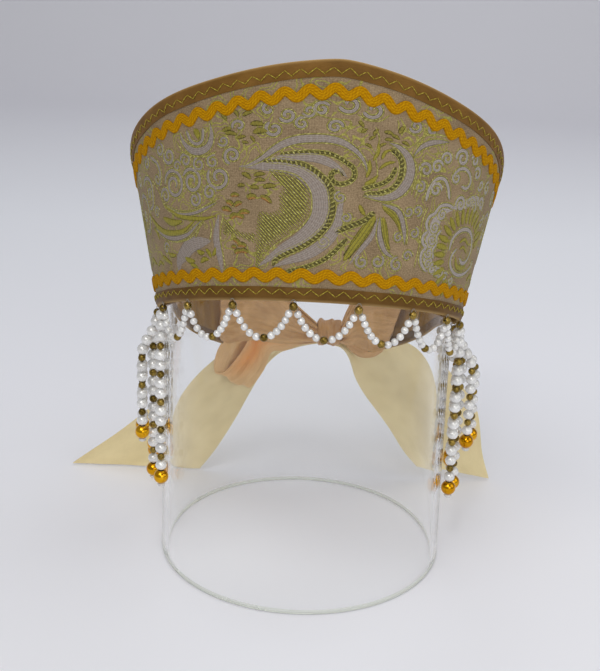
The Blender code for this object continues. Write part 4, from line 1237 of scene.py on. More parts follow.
# Chart of the brocade's repeat, in mm along the ring and above the lower edge: each row is a
# kind of figure, its width and points of its middle line. An arch is a raised band between two
# thin lines, a banded line is dark with gold bars across it.
CHART = (
    ("crescent", 3.6, ((-38, 61), (-31, 64), (-24, 69.2), (-20, 71.6), (-15, 73.3), (-10, 73.9),
     (-5, 74.1), (0, 73.4), (4, 71.6), (8, 68.6), (11, 64.5), (12.3, 60.5))),
    ("fill", 8.4, ((-40, 61.5), (-28, 61.3), (-20, 61), (-14.5, 59.3), (-10, 56), (-6.6, 51),
     (-5.3, 45), (-5.8, 39), (-9, 33), (-14, 28.2), (-20, 24.5), (-26, 20.5), (-33, 15.5))),
    ("fill", 4.6, ((-28, 63.9), (-20, 65.3), (-10, 65.7), (-4, 64), (0.5, 61.4), (4.5, 57.5))),
    ("fill", 5.6, ((-26, 15.5), (-18, 18.8), (-11, 21.5), (-5, 25.6), (-0.5, 30.5), (2.2, 37),
     (2.6, 44), (4, 50))),
    ("banded", 1.7, ((-29, 63.8), (-22.5, 63.8), (-16.7, 62.8), (-13.3, 62), (-10, 60.3), (-6.7, 57.8),
     (-3.3, 54.5), (-1.6, 51), (-0.9, 47), (-0.5, 42.8), (-1.2, 38.7), (-2.5, 35.3), (-5, 32),
     (-8.3, 28.7), (-13.3, 25.3), (-20, 22), (-24.2, 19.3), (-25.6, 16))),
    ("banded", 1.0, ((-22, 66.8), (-15, 67.4), (-10, 67.9), (-5, 67.8), (-1.7, 67), (1.7, 65.4),
     (4.2, 63.8), (6.6, 61.8), (7.3, 58.7), (5.8, 56), (2.5, 54.4), (-0.4, 54.9), (-2.1, 57),
     (-1.6, 59.2), (0, 60.2), (2, 59.7), (2.9, 58.2))),
    ("banded", 1.1, ((-20, 13.4), (-10, 16.2), (-3.3, 19.5), (0.8, 22.9), (4.2, 27), (6.7, 30))),
    ("line", 0.6, ((-27, 59.8), (-20, 58.9), (-15, 57), (-11.5, 53.3), (-9.5, 49), (-9.1, 43),
     (-10, 39), (-12.8, 34.7), (-17, 31), (-22, 27.6), (-27, 23.6), (-31, 18.5))),
    ("banded", 1.5, ((17.5, 43), (13.3, 38.9), (6.7, 35.4), (1.2, 32.6))),
    ("frond", 5.2, ((18, 41.5), (13.6, 33), (9.6, 26), (6, 19.8))),
    ("fill", 2.6, ((19.3, 41), (18, 33), (14, 26.5), (8.5, 18))),
    ("frond", 3.2, ((21.5, 41.5), (23.3, 35.3), (25, 30.3), (27.3, 26.5))),
    ("crescent", 2.8, ((20, 41.5), (21.2, 33), (24.8, 26), (30.5, 23))),
    ("frond", 3.0, ((20.5, 46), (25.8, 43), (29.2, 39.5), (31, 35.5))),
    ("crescent", 2.8, ((20, 47.4), (28.3, 44.7), (32.6, 37), (34.4, 30))),
    ("line", 0.7, ((20.5, 48.6), (29, 46.3), (34, 38.5), (35.6, 30))),
    ("leaf", 1.8, ((10.5, 46), (11.8, 43.4), (13.6, 41))),
    ("crescent", 4.6, ((11.5, 50), (20, 50), (26, 52.4), (30, 57.6), (31, 63.7), (29, 69.4),
     (24.6, 73.2), (19.5, 75))),
    ("banded", 1.3, ((12, 50.6), (18.3, 51.8), (23.2, 54.2), (25.8, 57.5), (26.8, 61.5), (26.5, 66.2),
     (24.6, 69.8), (20.5, 72.3))),
    ("banded", 1.0, ((10.8, 53), (15, 54.6), (19.2, 56.4), (22, 59), (23.6, 62.2), (24, 64.5))),
    ("leaf", 1.9, ((11.5, 55), (14.6, 57), (17, 60))),
    ("leaf", 1.6, ((12, 58), (13, 62), (12.6, 66.5))),
    ("leaf", 1.4, ((16.8, 62.5), (20, 65.6), (23.6, 66.8))),
    ("leaf", 1.5, ((14, 66), (15.6, 70), (15.4, 74.5))),
    ("leaf", 1.4, ((17.5, 67), (18.6, 70.5), (21.5, 72))),
    ("line", 0.5, ((14.5, 52), (16.5, 60), (15, 68), (15.5, 76), (13.5, 81))),
    ("line", 0.5, ((-10.5, 87), (-6.7, 84), (-1.7, 82.9), (3.3, 82.9), (4.2, 80.3), (1.6, 76.8))),
    ("line", 0.5, ((6, 86), (10, 83.6), (15, 84), (18.3, 87))),
    ("line", 0.7, ((30, 75), (34, 80), (40, 82.2), (47, 82.4))),
    ("crescent", 2.8, ((31, 70.6), (34.4, 75.6), (40, 78.6), (47.5, 80.2))),
    ("line", 0.6, ((33.2, 53), (34, 62), (32.4, 68.5))),
    ("line", 0.6, ((35, 52), (36.2, 60), (35, 68))),
    ("line", 0.6, ((43.3, 49), (41.6, 41.2), (42.6, 32.8), (42.4, 20))),
    ("cloud", 8.0, ((60, 50.5), (54, 48.6), (50.4, 44), (49.4, 38), (49.2, 31), (49.6, 25.4),
     (54, 20.6), (62, 18))),
    ("cloud", 6.0, ((58, 50.6), (66, 53.6), (74, 57), (82, 58), (90, 55))),
    ("pale", 1.9, ((60, 51.2), (54.8, 51.8), (50.4, 50.2), (48, 46.6), (45.4, 44.8), (44.4, 41.2),
     (46.2, 38))),
    ("pale", 1.9, ((46.2, 38), (43.9, 35.3), (44.6, 32), (46.8, 30.3), (45.2, 27.8), (45.2, 24.5),
     (47, 21.6), (50.8, 19.2))),
    ("pale", 1.5, ((54.8, 39.6), (52.6, 36.6), (53.4, 32.8), (51.8, 29.4), (53.6, 25.6))),
    ("pale", 1.8, ((54.6, 65), (57, 69), (61.5, 70.4), (66, 68.7), (68.3, 65), (66, 61.8), (61.5, 62))),
    ("pale", 1.6, ((69, 56), (74, 59), (78.4, 57), (80, 52.5))),
    ("pale", 1.9, ((41.5, 51.5), (42, 57), (45, 62.3), (49.5, 63), (53, 59.5), (55.4, 54.5))),
    ("pale", 2.2, ((64.2, 31), (65, 37), (69.2, 41.2), (75, 43.2), (80.8, 42.8), (85.8, 40),
     (88.2, 35.3), (87.4, 30.3), (84, 27.6), (80, 27.1), (76, 29))),
    ("pale", 2.0, ((71, 33), (68.3, 30), (67.6, 27), (69.4, 23.6), (74.4, 21.2), (80.8, 20.9),
     (88.3, 22.7), (95, 26.2), (98.6, 30.5))),
    ("leaf", 2.4, ((71.5, 29), (75, 25), (82, 24.3), (87, 26.5))),
    ("leaf", 1.8, ((72, 36), (77, 38.4), (83.5, 36))),
    ("leaf", 1.6, ((73.5, 33), (78, 34.6), (83, 32))),
    ("crescent", 3.6, ((-69.4, 80), (-67.5, 74.5), (-63.3, 70.6), (-58.3, 69.7), (-53.8, 71.6),
     (-51.8, 76.2), (-52, 82))),
    ("arch", 1.6, ((-65, 80), (-63.3, 75.3), (-60, 73.2), (-56.7, 74.7), (-55.8, 80))),
    ("leaf", 2.6, ((-60.6, 80.5), (-59, 77.6), (-58.8, 75))),
    ("line", 0.7, ((-72, 76), (-69, 71), (-65, 68.4), (-60, 67.2), (-54, 67.2), (-50, 69))),
    ("line", 0.6, ((-90, 49), (-83.3, 45), (-76.7, 42.8), (-68.3, 42.2), (-61.7, 43.4), (-56.7, 45.2),
     (-50, 47.6))),
    ("crescent", 2.2, ((-87, 47.4), (-82, 44.4), (-76, 42.2), (-68, 41.6), (-61, 42.6), (-52, 45.6))),
    ("leaf", 2.2, ((-89, 47.6), (-81.7, 43.2), (-76.7, 40.9), (-68.3, 39.2), (-60, 38.5),
     (-52.4, 39.6))),
    ("leaf", 2.6, ((-110, 46.2), (-103.3, 40.3), (-96.7, 36.2), (-90, 34), (-81.7, 33.2), (-75, 33.8),
     (-69.2, 36.4), (-66, 38))),
    ("crescent", 2.6, ((-104, 38), (-96, 33.8), (-88, 31.3), (-80, 30.6), (-71.7, 32), (-65, 36),
     (-61, 38))),
    ("line", 0.7, ((-84, 28.8), (-76, 28.9), (-70, 30.2), (-65, 33.5), (-60, 37.8))),
    ("leaf", 3.0, ((-92, 41.6), (-84, 38.4), (-75, 38.2))),
    ("line", 0.6, ((-62.5, 37), (-64.5, 33), (-67, 30))),
    ("line", 0.6, ((-57, 37.5), (-56.4, 33), (-58, 28))),
    ("fill", 4.0, ((-51.4, 40), (-53.2, 34), (-54, 28), (-53, 21), (-52.2, 12))),
    ("line", 0.6, ((-49, 40), (-50.8, 34), (-51.6, 28), (-50.8, 21), (-50, 12))),
    ("fill", 8.5, ((-57, 28), (-64, 27.5), (-71, 26.5), (-77, 23), (-82, 19.5), (-84, 13))),
    ("leaf", 2.2, ((-67, 24), (-64.6, 22.6), (-61.8, 22.6))),
    ("leaf", 2.0, ((-61, 24.5), (-59.2, 22.4), (-58, 19.8))),
    ("leaf", 2.0, ((-57.4, 20.8), (-55.6, 22.6), (-54.6, 25))),
    ("leaf", 2.2, ((-65.5, 18), (-62.5, 19.6), (-59.6, 19))),
    ("leaf", 2.4, ((-76.5, 21), (-73, 19.2), (-69, 18.8))),
    ("leaf", 2.0, ((-73, 17.5), (-69.5, 16.4), (-66.5, 13.5))),
    ("leaf", 2.2, ((-100, 23.5), (-95, 21), (-89.5, 18.4))),
    ("leaf", 2.0, ((-109, 19), (-104.5, 20.6), (-100, 19))),
    ("leaf", 2.0, ((-92, 24), (-88, 22.6), (-84, 22.8))),
    ("leaf", 2.0, ((-106, 38), (-102.6, 35.6), (-100, 31.5))),
    ("arch", 2.0, ((-96, 72), (-90, 68), (-88.4, 62), (-91, 57))),
    ("arch", 2.2, ((-112, 60), (-108, 63), (-102, 62), (-99.5, 57), (-102, 49), (-107, 47.5))),
    ("line", 0.6, ((-98, 61), (-92, 54), (-88, 46), (-80, 42))),
    ("ring", 2.4, ((97, 52), (104, 56), (111, 53), (113, 45), (108, 38), (101, 38))),
    ("leaf", 2.6, ((96, 20), (103, 23), (111, 20))),
    ("leaf", 2.6, ((92, 36), (96, 40), (98, 46))))

# Scrolls: x and y of the centre, radius, angle where each starts, turns (negative is clockwise)
# and width
SCROLLS = (
    (-42.5, 66.5, 4.0, 250, -1.2, 1.4), (-50.0, 57.0, 6.0, 140, 1.3, 1.6),
    (-39.0, 79.6, 3.0, 200, -0.9, 1.2), (-26.7, 86.5, 3.0, 20, 1.0, 1.3),
    (-19.5, 84.0, 3.2, 200, 1.1, 1.3), (-24.5, 77.8, 3.6, 120, 1.1, 1.4),
    (-7.0, 87.0, 3.2, 30, 1.2, 1.3), (-1.7, 79.6, 3.0, 0, 1.2, 1.2), (3.0, 90.0, 4.0, 200, 1.0, 1.5),
    (12.0, 88.5, 4.0, 200, 1.0, 1.5), (2.2, 48.5, 2.6, 90, 1.2, 1.0), (-3.5, 28.0, 2.4, 200, 1.2, 1.0),
    (5.5, 39.5, 2.2, 80, -1.1, 1.0), (22.0, 21.0, 3.2, 60, -1.1, 1.2), (14.5, 20.0, 3.0, 120, 1.1, 1.2),
    (32.0, 20.5, 3.4, 90, 1.1, 1.2), (37.0, 25.0, 2.6, 0, 1.0, 1.1), (45.8, 57.6, 3.4, 0, 1.3, 1.4),
    (36.8, 57.4, 2.8, 90, -1.2, 1.2), (38.3, 65.6, 3.4, 200, -1.2, 1.4),
    (44.0, 68.0, 3.2, 20, 1.2, 1.3), (57.0, 65.2, 3.0, 100, 1.2, 1.3),
    (58.0, 74.8, 4.4, 200, -1.3, 1.7), (67.6, 75.6, 3.0, 180, -1.1, 1.5),
    (72.6, 70.2, 3.2, 160, -1.1, 1.5), (64.6, 53.7, 4.0, 200, -1.3, 1.6),
    (53.0, 46.8, 2.8, 90, 1.2, 1.2), (38.0, 46.5, 2.6, 270, 1.1, 1.1), (38.5, 36.0, 2.6, 90, -1.1, 1.1),
    (54.5, 21.0, 2.8, 0, 1.2, 1.4), (61.5, 19.8, 2.6, 180, 1.1, 1.4), (85.5, 57.5, 3.6, 180, -1.1, 1.8),
    (88.0, 66.0, 3.4, 90, 1.1, 1.6), (79.0, 66.0, 3.0, 200, 1.1, 1.4), (93.0, 50.0, 3.2, 90, -1.1, 1.5),
    (-78.0, 56.0, 7.6, 170, -1.6, 1.7), (-65.3, 56.4, 6.2, 150, -1.5, 1.6),
    (-64.6, 47.8, 3.6, 60, -1.3, 1.3), (-67.8, 66.4, 3.4, 180, -1.2, 1.3),
    (-60.0, 63.8, 3.4, 90, 1.2, 1.2), (-55.4, 50.4, 3.6, 0, 1.3, 1.3),
    (-86.4, 51.6, 4.0, 180, -1.2, 1.5), (-79.0, 70.0, 4.2, 150, 1.3, 1.6),
    (-86.0, 74.0, 3.2, 60, -1.1, 1.4), (-74.0, 64.5, 2.6, 0, 1.1, 1.1), (-93.0, 26.5, 3.0, 0, 1.1, 1.3),
    (-104.0, 55.0, 2.8, 0, 1.2, 1.5), (-102.0, 70.0, 3.2, 90, -1.2, 1.5),
    (-98.0, 45.0, 2.8, 0, 1.2, 1.3), (104.0, 46.0, 3.2, 180, 1.2, 1.6),
    (104.0, 64.0, 4.0, 60, 1.3, 1.8), (97.0, 28.0, 2.4, 90, 1.1, 1.2), (50.0, 40.2, 2.5, 200, 1.2, 1.1),
    (50.0, 34.2, 2.3, 20, -1.2, 1.1), (49.4, 28.0, 2.5, 160, 1.2, 1.1), (50.6, 22.6, 2.2, 60, 1.2, 1.0),
    (58.4, 20.4, 2.5, 200, 1.2, 1.2), (66.0, 18.4, 2.4, 20, 1.1, 1.2), (73.0, 17.4, 2.3, 160, 1.2, 1.1),
    (71.4, 56.4, 2.6, 160, 1.2, 1.2), (78.0, 55.4, 2.6, 20, -1.2, 1.2), (30.5, 33.0, 2.2, 90, 1.1, 1.0),
    (33.4, 45.4, 2.4, 200, 1.1, 1.0), (48.6, 72.6, 3.2, 200, -1.2, 1.2),
    (30.0, 84.0, 3.0, 200, 1.1, 1.3), (38.0, 83.6, 2.8, 20, 1.1, 1.3), (-52.4, 64.4, 3.2, 60, 1.2, 1.1),
    (-46.4, 73.4, 2.6, 200, 1.1, 1.0), (-92.0, 60.6, 3.2, 60, -1.2, 1.2),
    (-14.0, 80.4, 2.8, 60, 1.1, 1.1), (-11.4, 86.0, 2.8, 200, 1.1, 1.1))

# Outlines filled with close slanting stitches
HATCHED = (((-27, 59.3), (-20, 58.4), (-15.3, 56.3), (-12, 52.8), (-10.2, 48.8), (-9.8, 43), (-10.6, 39.2),
            (-13.4, 34.9), (-17.6, 31.4), (-22.4, 28), (-27.4, 24), (-31, 19.5), (-32.6, 13), (-34, 20),
            (-33.4, 29), (-32.6, 36.6), (-31, 41), (-26.8, 40.4), (-22.8, 42.4), (-22.8, 48.6), (-20.9, 52),
            (-23.2, 55.4)),
           ((-49.5, 38.4), (-45, 34.6), (-40.4, 31.6), (-34.4, 30.8), (-34, 26.4), (-40.5, 28.8), (-46, 30),
            (-49.6, 31)))
# Distance between those stitches in mm, and their slant
HATCH_SPACING = 1.15
HATCH_TURN = math.radians(-49.0)
SHORTEST_HATCH = 1.2
# Gold bars of a banded line: space at its ends, distance in mm and slant
BAR_SPACE = 0.8
BAR_PERIOD = 2.0
BAR_SLANT = 0.55

# Small flowers: x and y of each petal, the angle that it points at, its length and its width
PETALS = (
    (-44.2, 78.2, 8, 4.8, 2.2), (-42.5, 76.2, -12, 5.6, 2.4), (-31.2, 79.9, -6, 5.8, 2.8),
    (-30.0, 76.6, 4, 6.2, 3.0), (-45.3, 84.0, -55, 4.2, 2.0), (-39.8, 85.2, -60, 3.6, 2.0),
    (-35.0, 84.8, 20, 4.6, 2.2), (-38.0, 74.4, 10, 4.2, 2.0), (-36.4, 72.0, -10, 3.0, 1.6),
    (-33.4, 73.4, -60, 3.8, 1.6), (-36.7, 57.0, -35, 5.2, 2.5), (-30.8, 57.4, 8, 5.4, 2.4),
    (-30.8, 54.9, -4, 5.2, 2.2), (-39.2, 52.7, 0, 3.8, 2.2), (-33.2, 51.6, -10, 4.4, 2.4),
    (-26.7, 52.0, 6, 6.0, 2.8), (-34.6, 47.4, 6, 4.6, 3.2), (-28.3, 46.3, -35, 6.2, 2.6),
    (-42.5, 48.4, 0, 4.6, 2.4), (-45.2, 44.9, -26, 4.4, 2.6), (-41.2, 44.4, 22, 4.6, 2.6),
    (-47.0, 42.0, -14, 5.6, 2.7), (-38.4, 40.5, 0, 5.6, 2.7), (-43.6, 38.9, 22, 4.6, 3.0),
    (-40.6, 38.8, -22, 4.6, 3.0), (-43.0, 27.2, -38, 4.6, 2.4), (-44.6, 24.7, -8, 3.2, 2.0),
    (-40.4, 25.4, -6, 5.2, 2.8), (-42.4, 22.5, 10, 4.8, 2.6), (-39.4, 22.6, -14, 4.6, 2.6),
    (7.8, 81.6, -50, 3.6, 1.8), (9.4, 78.8, 40, 3.4, 1.6), (14.0, 78.8, 62, 3.8, 1.8),
    (19.0, 79.0, -10, 4.4, 2.0), (22.0, 77.6, -22, 4.0, 1.9), (24.3, 81.2, 62, 4.2, 2.4),
    (19.4, 76.0, 0, 3.8, 1.8), (26.6, 75.4, -20, 4.0, 1.8), (12.8, 76.0, 40, 3.4, 1.6),
    (11.6, 72.4, -30, 3.4, 1.6), (17.2, 73.4, 35, 3.8, 1.6))

# Rosette: line that its petals stand on, the distance between them, their length and width
ROSETTE = ((71, 16), (65.6, 19.5), (62.6, 24.5), (61.8, 31), (63.2, 38), (67.8, 43.2), (74.6, 45.6),
           (81.6, 45.2), (87.6, 42), (91, 36.5))
ROSETTE_STEP = 3.3
ROSETTE_PETAL = (8.6, 3.3)
# Length of the repeat along the ring, height under which petals are half orange, and place from
# which scrolls are pale, all in mm
REPEAT = 222.0
ORANGE_BELOW = 49.0
PALE_FROM = 40.0


def shifted(line, distance):
    """Line at a distance to the left of another."""
    return line + sideways(line) * distance


def bars(line, width):
    """Gold threads that slant across a line."""
    lengths = lengths_of(line)
    side = sideways(line)
    reach = 0.44 * width
    across = np.array((0.44, 0.15, -0.15, -0.44)) * width
    parts = []
    for start in np.arange(BAR_SPACE, lengths[-1] - 0.6 * width - BAR_SPACE, BAR_PERIOD):
        places = start + (reach - across) * BAR_SLANT
        middle = point_at(line, lengths, places).T
        leaning = point_at(side, lengths, places).T
        parts += stroke("gold", middle + leaning * across[:, None], 1.0)
    return parts


def edged(kind, line, width, thread):
    """Stroke with a gold thread along both of its edges."""
    share = np.linspace(0.0, 1.0, len(line))
    edge = 0.5 * width * taper(STROKE_KINDS[kind][3], share)[:, None] + 0.4 * thread
    return (stroke(kind, line, width) + stroke("gold", shifted(line, edge), thread)
            + stroke("gold", shifted(line, -edge), thread))


def figure(kind, line, width):
    """Strokes of one row of the chart."""
    if kind == "line":
        return stroke("gold", line, width + 0.2)
    if kind == "banded":
        return edged("dark", line, 1.4 * width, 0.66) + bars(line, 1.4 * width)
    if kind in ("arch", "ring"):
        return edged("band", line, width, 0.74)
    if kind == "pale":
        return edged("pale", line, width, 0.70)
    if kind == "crescent":
        return edged("fill", line, width, 0.70)
    if kind == "leaf":
        return stroke("leaf", line, LEAF_FULLNESS * width)
    if kind == "frond":
        veins = (-0.28, 0.0, 0.28) if width > 4.0 else (-0.18, 0.18)
        parts = stroke("leaf", line, width)
        for place in veins:
            parts += stroke("vein", shifted(line, place * width)[2:-2], 0.7)
        return parts
    return stroke(kind, line, width)


def petal(middle, turn, length, width):
    """Plump petal; on the low flowers its lower half is orange."""
    ahead = np.array((math.cos(turn), math.sin(turn)))
    over = np.array((-math.sin(turn), math.cos(turn)))
    reach = 0.5 * length * ahead
    bow = 0.10 * length * over
    whole = stroke("petal", smooth_line([middle - reach, middle + bow, middle + reach], 0.5), width)
    if middle[1] > ORANGE_BELOW:
        return whole
    low = middle - 0.22 * width * over
    glow = smooth_line([low - 0.8 * reach, low + 0.8 * bow, low + 0.8 * reach], 0.5)
    return whole + stroke("ember", glow, 0.45 * width)


def rosette(move):
    """Petals that stand close together round the large scroll."""
    foot = smooth_line(ROSETTE, 0.5)
    lengths = lengths_of(foot)
    along = tangents(foot)
    reach, width = ROSETTE_PETAL
    parts = []
    for place in np.arange(0.0, lengths[-1], ROSETTE_STEP):
        ahead = point_at(along, lengths, place)
        out = np.array((-ahead[1], ahead[0]))
        start = point_at(foot, lengths, place) + move
        line = smooth_line([start, start + 0.5 * reach * out, start + reach * out], 0.6)
        parts += stroke("leaf", line, width)
    return parts


def figures():
    """The brocade's woven figures, repeated round the band."""
    lines = [(kind, width, smooth_line(points)) for kind, width, points in CHART]
    for x, y, radius, start, turns, width in SCROLLS:
        kind = "pale" if x > PALE_FROM else "arch"
        lines.append((kind, SCROLL_FULLNESS * width, smooth_line(curl((x, y), radius, start, turns), 0.7)))
    parts = []
    for shift in (-REPEAT, 0.0, REPEAT):
        move = np.array((shift, 0.0))
        for kind, width, line in lines:
            parts += figure(kind, line + move, width)
        for x, y, turn, length, width in PETALS:
            parts += petal(np.array((x, y)) + move, math.radians(turn), length, width)
        parts += rosette(move)
        for outline in HATCHED:
            parts += hatching(np.array(outline) + move, HATCH_SPACING, HATCH_TURN)
    looks = [thread_look("lurex_thread", (0.165, 0.143, 0.032), (0.30, 0.268, 0.062),
                         (0.68, 0.65, 0.24)),
             thread_look("dark_thread", (0.040, 0.034, 0.010), (0.105, 0.090, 0.022),
                         (0.20, 0.175, 0.045), 0.6),
             ribbed_look("lilac_ribbing", (0.190, 0.152, 0.124), (0.345, 0.290, 0.250),
                         (0.40, 0.375, 0.350), 0.20),
             silk_look("olive_silk", (0.110, 0.094, 0.010), (0.300, 0.260, 0.032), 1.1, 0.3),
             thread_look("orange_silk", (0.15, 0.070, 0.016), (0.34, 0.17, 0.045),
                         (0.44, 0.26, 0.08), 0.55),
             ribbed_look("lilac_cord", (0.205, 0.167, 0.142), (0.375, 0.322, 0.286),
                         (0.46, 0.43, 0.40), 0.0),
             thread_look("hatching_thread", (0.180, 0.155, 0.024), (0.40, 0.365, 0.068),
                         (0.84, 0.81, 0.27)),
             silk_look("petal_silk", (0.034, 0.029, 0.006), (0.255, 0.215, 0.036), 0.55, 0.5),
             ribbed_look("pale_lilac", (0.235, 0.198, 0.172), (0.450, 0.400, 0.370),
                         (0.46, 0.43, 0.40), 0.0)]
    piece("brocade_figures", parts, looks, "brocade")


# Beads


def anchor_angle(number):
    """Angle of a bead that carries the swags, counted from 0 at the left."""
    return angle_at((number - 0.5 * SWAG_COUNT) * ANCHOR_SPACING)


def edge_bead_centre(angle):
    edge = on_band(angle, low_height(angle), EDGE_BEAD_OFFSET)
    return edge - AXIS * (EDGE_BEAD_RADIUS + GAP)


def bronze_look():
    return metal_look("antique_bronze", (0.085, 0.054, 0.010), (0.40, 0.275, 0.066), 0.24)


def edge_bead(name, node, angle, looks):
    """Drilled bead sewn under the lower edge with a loop of thread."""
    centre = edge_bead_centre(angle)
    edge = low_height(angle)
    ahead, behind = (on_band(angle + step, edge, EDGE_BEAD_OFFSET) for step in (0.5, -0.5))
    along = unit(ahead - behind)
    radius = EDGE_BEAD_RADIUS
    bead = turned(bead_profile(radius, 0.95 * radius, 0.28 * radius, 11), 26)
    parts = [placed(bead, centre, along)]
    turn = np.linspace(-0.5 * math.pi, 1.5 * math.pi, 20)
    up = unit(on_band(angle, edge + MM, EDGE_BEAD_OFFSET) - on_band(angle, edge, EDGE_BEAD_OFFSET))
    middle = centre + up * (0.55 * radius)
    loop = (middle + np.cos(turn)[:, None] * along * (0.62 * radius)
            + np.sin(turn)[:, None] * up * (0.95 * radius))
    parts.append(tube(loop, EDGE_THREAD_RADIUS, np.cross(along, up), 6, 1, tone=0.5))
    piece(name, parts, looks, "bronze", node, sharp=60.0)


def hanging(first, last, length, count=400):
    """Curve in which a chain of a given length hangs between two points."""
    level = np.hypot(*(last - first)[:2])
    low, high = level / 20.0, level * 20.0
    for _ in range(60):
        middle = 0.5 * (low + high)
        if 2.0 * middle * math.sinh(level / (2.0 * middle)) > length:
            low = middle
        else:
            high = middle
    share = np.linspace(-1.0, 1.0, count)
    points = first + (last - first) * (0.5 * (share + 1.0))[:, None]
    points[:, 2] += high * (np.cosh(share * level / (2.0 * high)) - math.cosh(level / (2.0 * high)))
    return points


def clear_of_glass(points, radius):
    """Points moved outward until a thread of a radius round them clears the glass."""
    clear = GLASS_RADIUS + radius + GAP
    flat = points[:, :2] - GLASS_PLACE[:2]
    size = np.linalg.norm(flat, axis=1)
    grow = np.where(size < clear, clear / size, 1.0)
    points = points.copy()
    points[:, :2] = GLASS_PLACE[:2] + flat * grow[:, None]
    return points


def swags(looks):
    """Swags of small pearls, each with a bronze bead at its lowest point."""
    angles = anchor_angle(np.arange(SWAG_COUNT + 1))
    for number, angle in enumerate(angles, 1):
        edge_bead("bead_on_edge_%d" % number, "edge_bead_%d" % number, float(angle), looks[1:])
    pearl = turned(bead_profile(*SWAG_PEARL), 24)
    bronze = turned(bead_profile(*SWAG_SPACER), 24)
    side_pitches = [SWAG_PITCH] * (SWAG_PEARLS - 1)
    pitches = side_pitches + [SWAG_SPACER_PITCH] * 2 + side_pitches
    for number, (start, end) in enumerate(zip(angles, angles[1:]), 1):
        one, other = edge_bead_centre(start), edge_bead_centre(end)
        level = unit(np.array((other[0] - one[0], other[1] - one[1], 0.0)))
        drop = np.array((0.0, 0.0, SWAG_DROP))
        first = one + level * SWAG_SIDE_STEP - drop
        last = other - level * SWAG_SIDE_STEP - drop
        path = clear_of_glass(hanging(first, last, sum(pitches)), SWAG_RADIUS)
        lengths = lengths_of(path)
        places = np.concatenate([[0.0], np.cumsum(pitches)]) * lengths[-1] / sum(pitches)
        parts = []
        for bead, place in enumerate(places):
            centre = point_at(path, lengths, place)
            ahead = point_at(path, lengths, min(place + 0.5 * MM, lengths[-1]))
            behind = point_at(path, lengths, max(place - 0.5 * MM, 0.0))
            middle = bead == SWAG_PEARLS
            parts.append(placed(bronze if middle else pearl, centre, ahead - behind, 1 if middle else 0,
                                1.0 if middle else RANDOM.uniform(*SWAG_PEARL_SIZES)))
        reach = level * SWAG_THREAD_STEP
        for anchor, tip in ((one + reach, path[0]), (other - reach, path[-1])):
            thread = anchor + (tip - anchor) * np.linspace(0.0, 1.0, 4)[:, None]
            parts.append(tube(thread, THREAD_RADIUS, level, 6, 2, tone=0.5))
        parts.append(tube(path[::20], THREAD_RADIUS, np.array((0.0, 0.0, 1.0)), 6, 2, tone=0.5))
        piece("swag_of_pearls_%d" % number, parts, looks, "pearl", "pearl_swag_%d" % number, sharp=60.0)


def strand_path(side, bead, along, x, y, ball):
    """Fine points from the top of a strand to its gold ball."""
    if bead:
        angle = PENDANT_ANGLES[side][bead - 1]
    else:
        angle = float(anchor_angle(SWAG_COUNT if side > 0 else 0))
    centre = edge_bead_centre(angle) - GLASS_PLACE
    behind = edge_bead_centre(angle + side) - GLASS_PLACE
    level = unit(np.array((behind[0] - centre[0], behind[1] - centre[1], 0.0)))
    apart = EDGE_BEAD_RADIUS + BEAD_FILL * PEARL_PITCH + GAP
    fall = math.sqrt(apart ** 2 - (along * MM) ** 2) - 0.5 * PEARL_PITCH
    start = centre + level * (along * MM) - np.array((0.0, 0.0, fall))
    clear = GLASS_RADIUS + 0.5 * PEARL_PITCH + GAP
    start[:2] *= max(clear / np.hypot(*start[:2]), 1.0)
    share = np.linspace(0.0, 1.0, 240)
    drop = share * (start[2] - ball * MM)
    ease = np.minimum(drop / STRAND_SWING, 1.0)
    ease = ease * ease * (3.0 - 2.0 * ease)
    ease += STRAND_LEAN * (share - ease)
    points = np.stack([start[0] + (x * MM - start[0]) * ease,
                       start[1] + (y * MM - start[1]) * ease,
                       start[2] - drop], -1)
    return points + GLASS_PLACE, centre + GLASS_PLACE


def strand_beads(total, groups):
    """Pitches from the top of a strand to its gold ball, each with True where it is bronze."""
    top = TOP_PEARLS
    while True:
        beads = [(PEARL_PITCH, False)] * top
        for group in range(groups):
            pearls = 1 if group == groups - 1 else 2
            beads += [(SPACER_PITCH, True)] + [(PEARL_PITCH, False)] * pearls
        fit = total / (sum(pitch for pitch, _ in beads) + BALL_RADIUS)
        if fit < LOOSEST_FIT:
            return [(pitch * fit, bronze) for pitch, bronze in beads]
        top += 1


def ball_profile(radius):
    """Gold ball with a collar round the hole at its top."""
    tilt = math.asin(0.34)
    rows = [(radius * math.sin(t), -radius * math.cos(t)) for t in np.linspace(0.12, math.pi - tilt, 15)]
    rows += [(0.36 * radius, 1.0 * radius), (0.27 * radius, 1.02 * radius), (0.22 * radius, 0.8 * radius)]
    return [(0.0, -radius)] + rows + [(0.0, 0.78 * radius)]


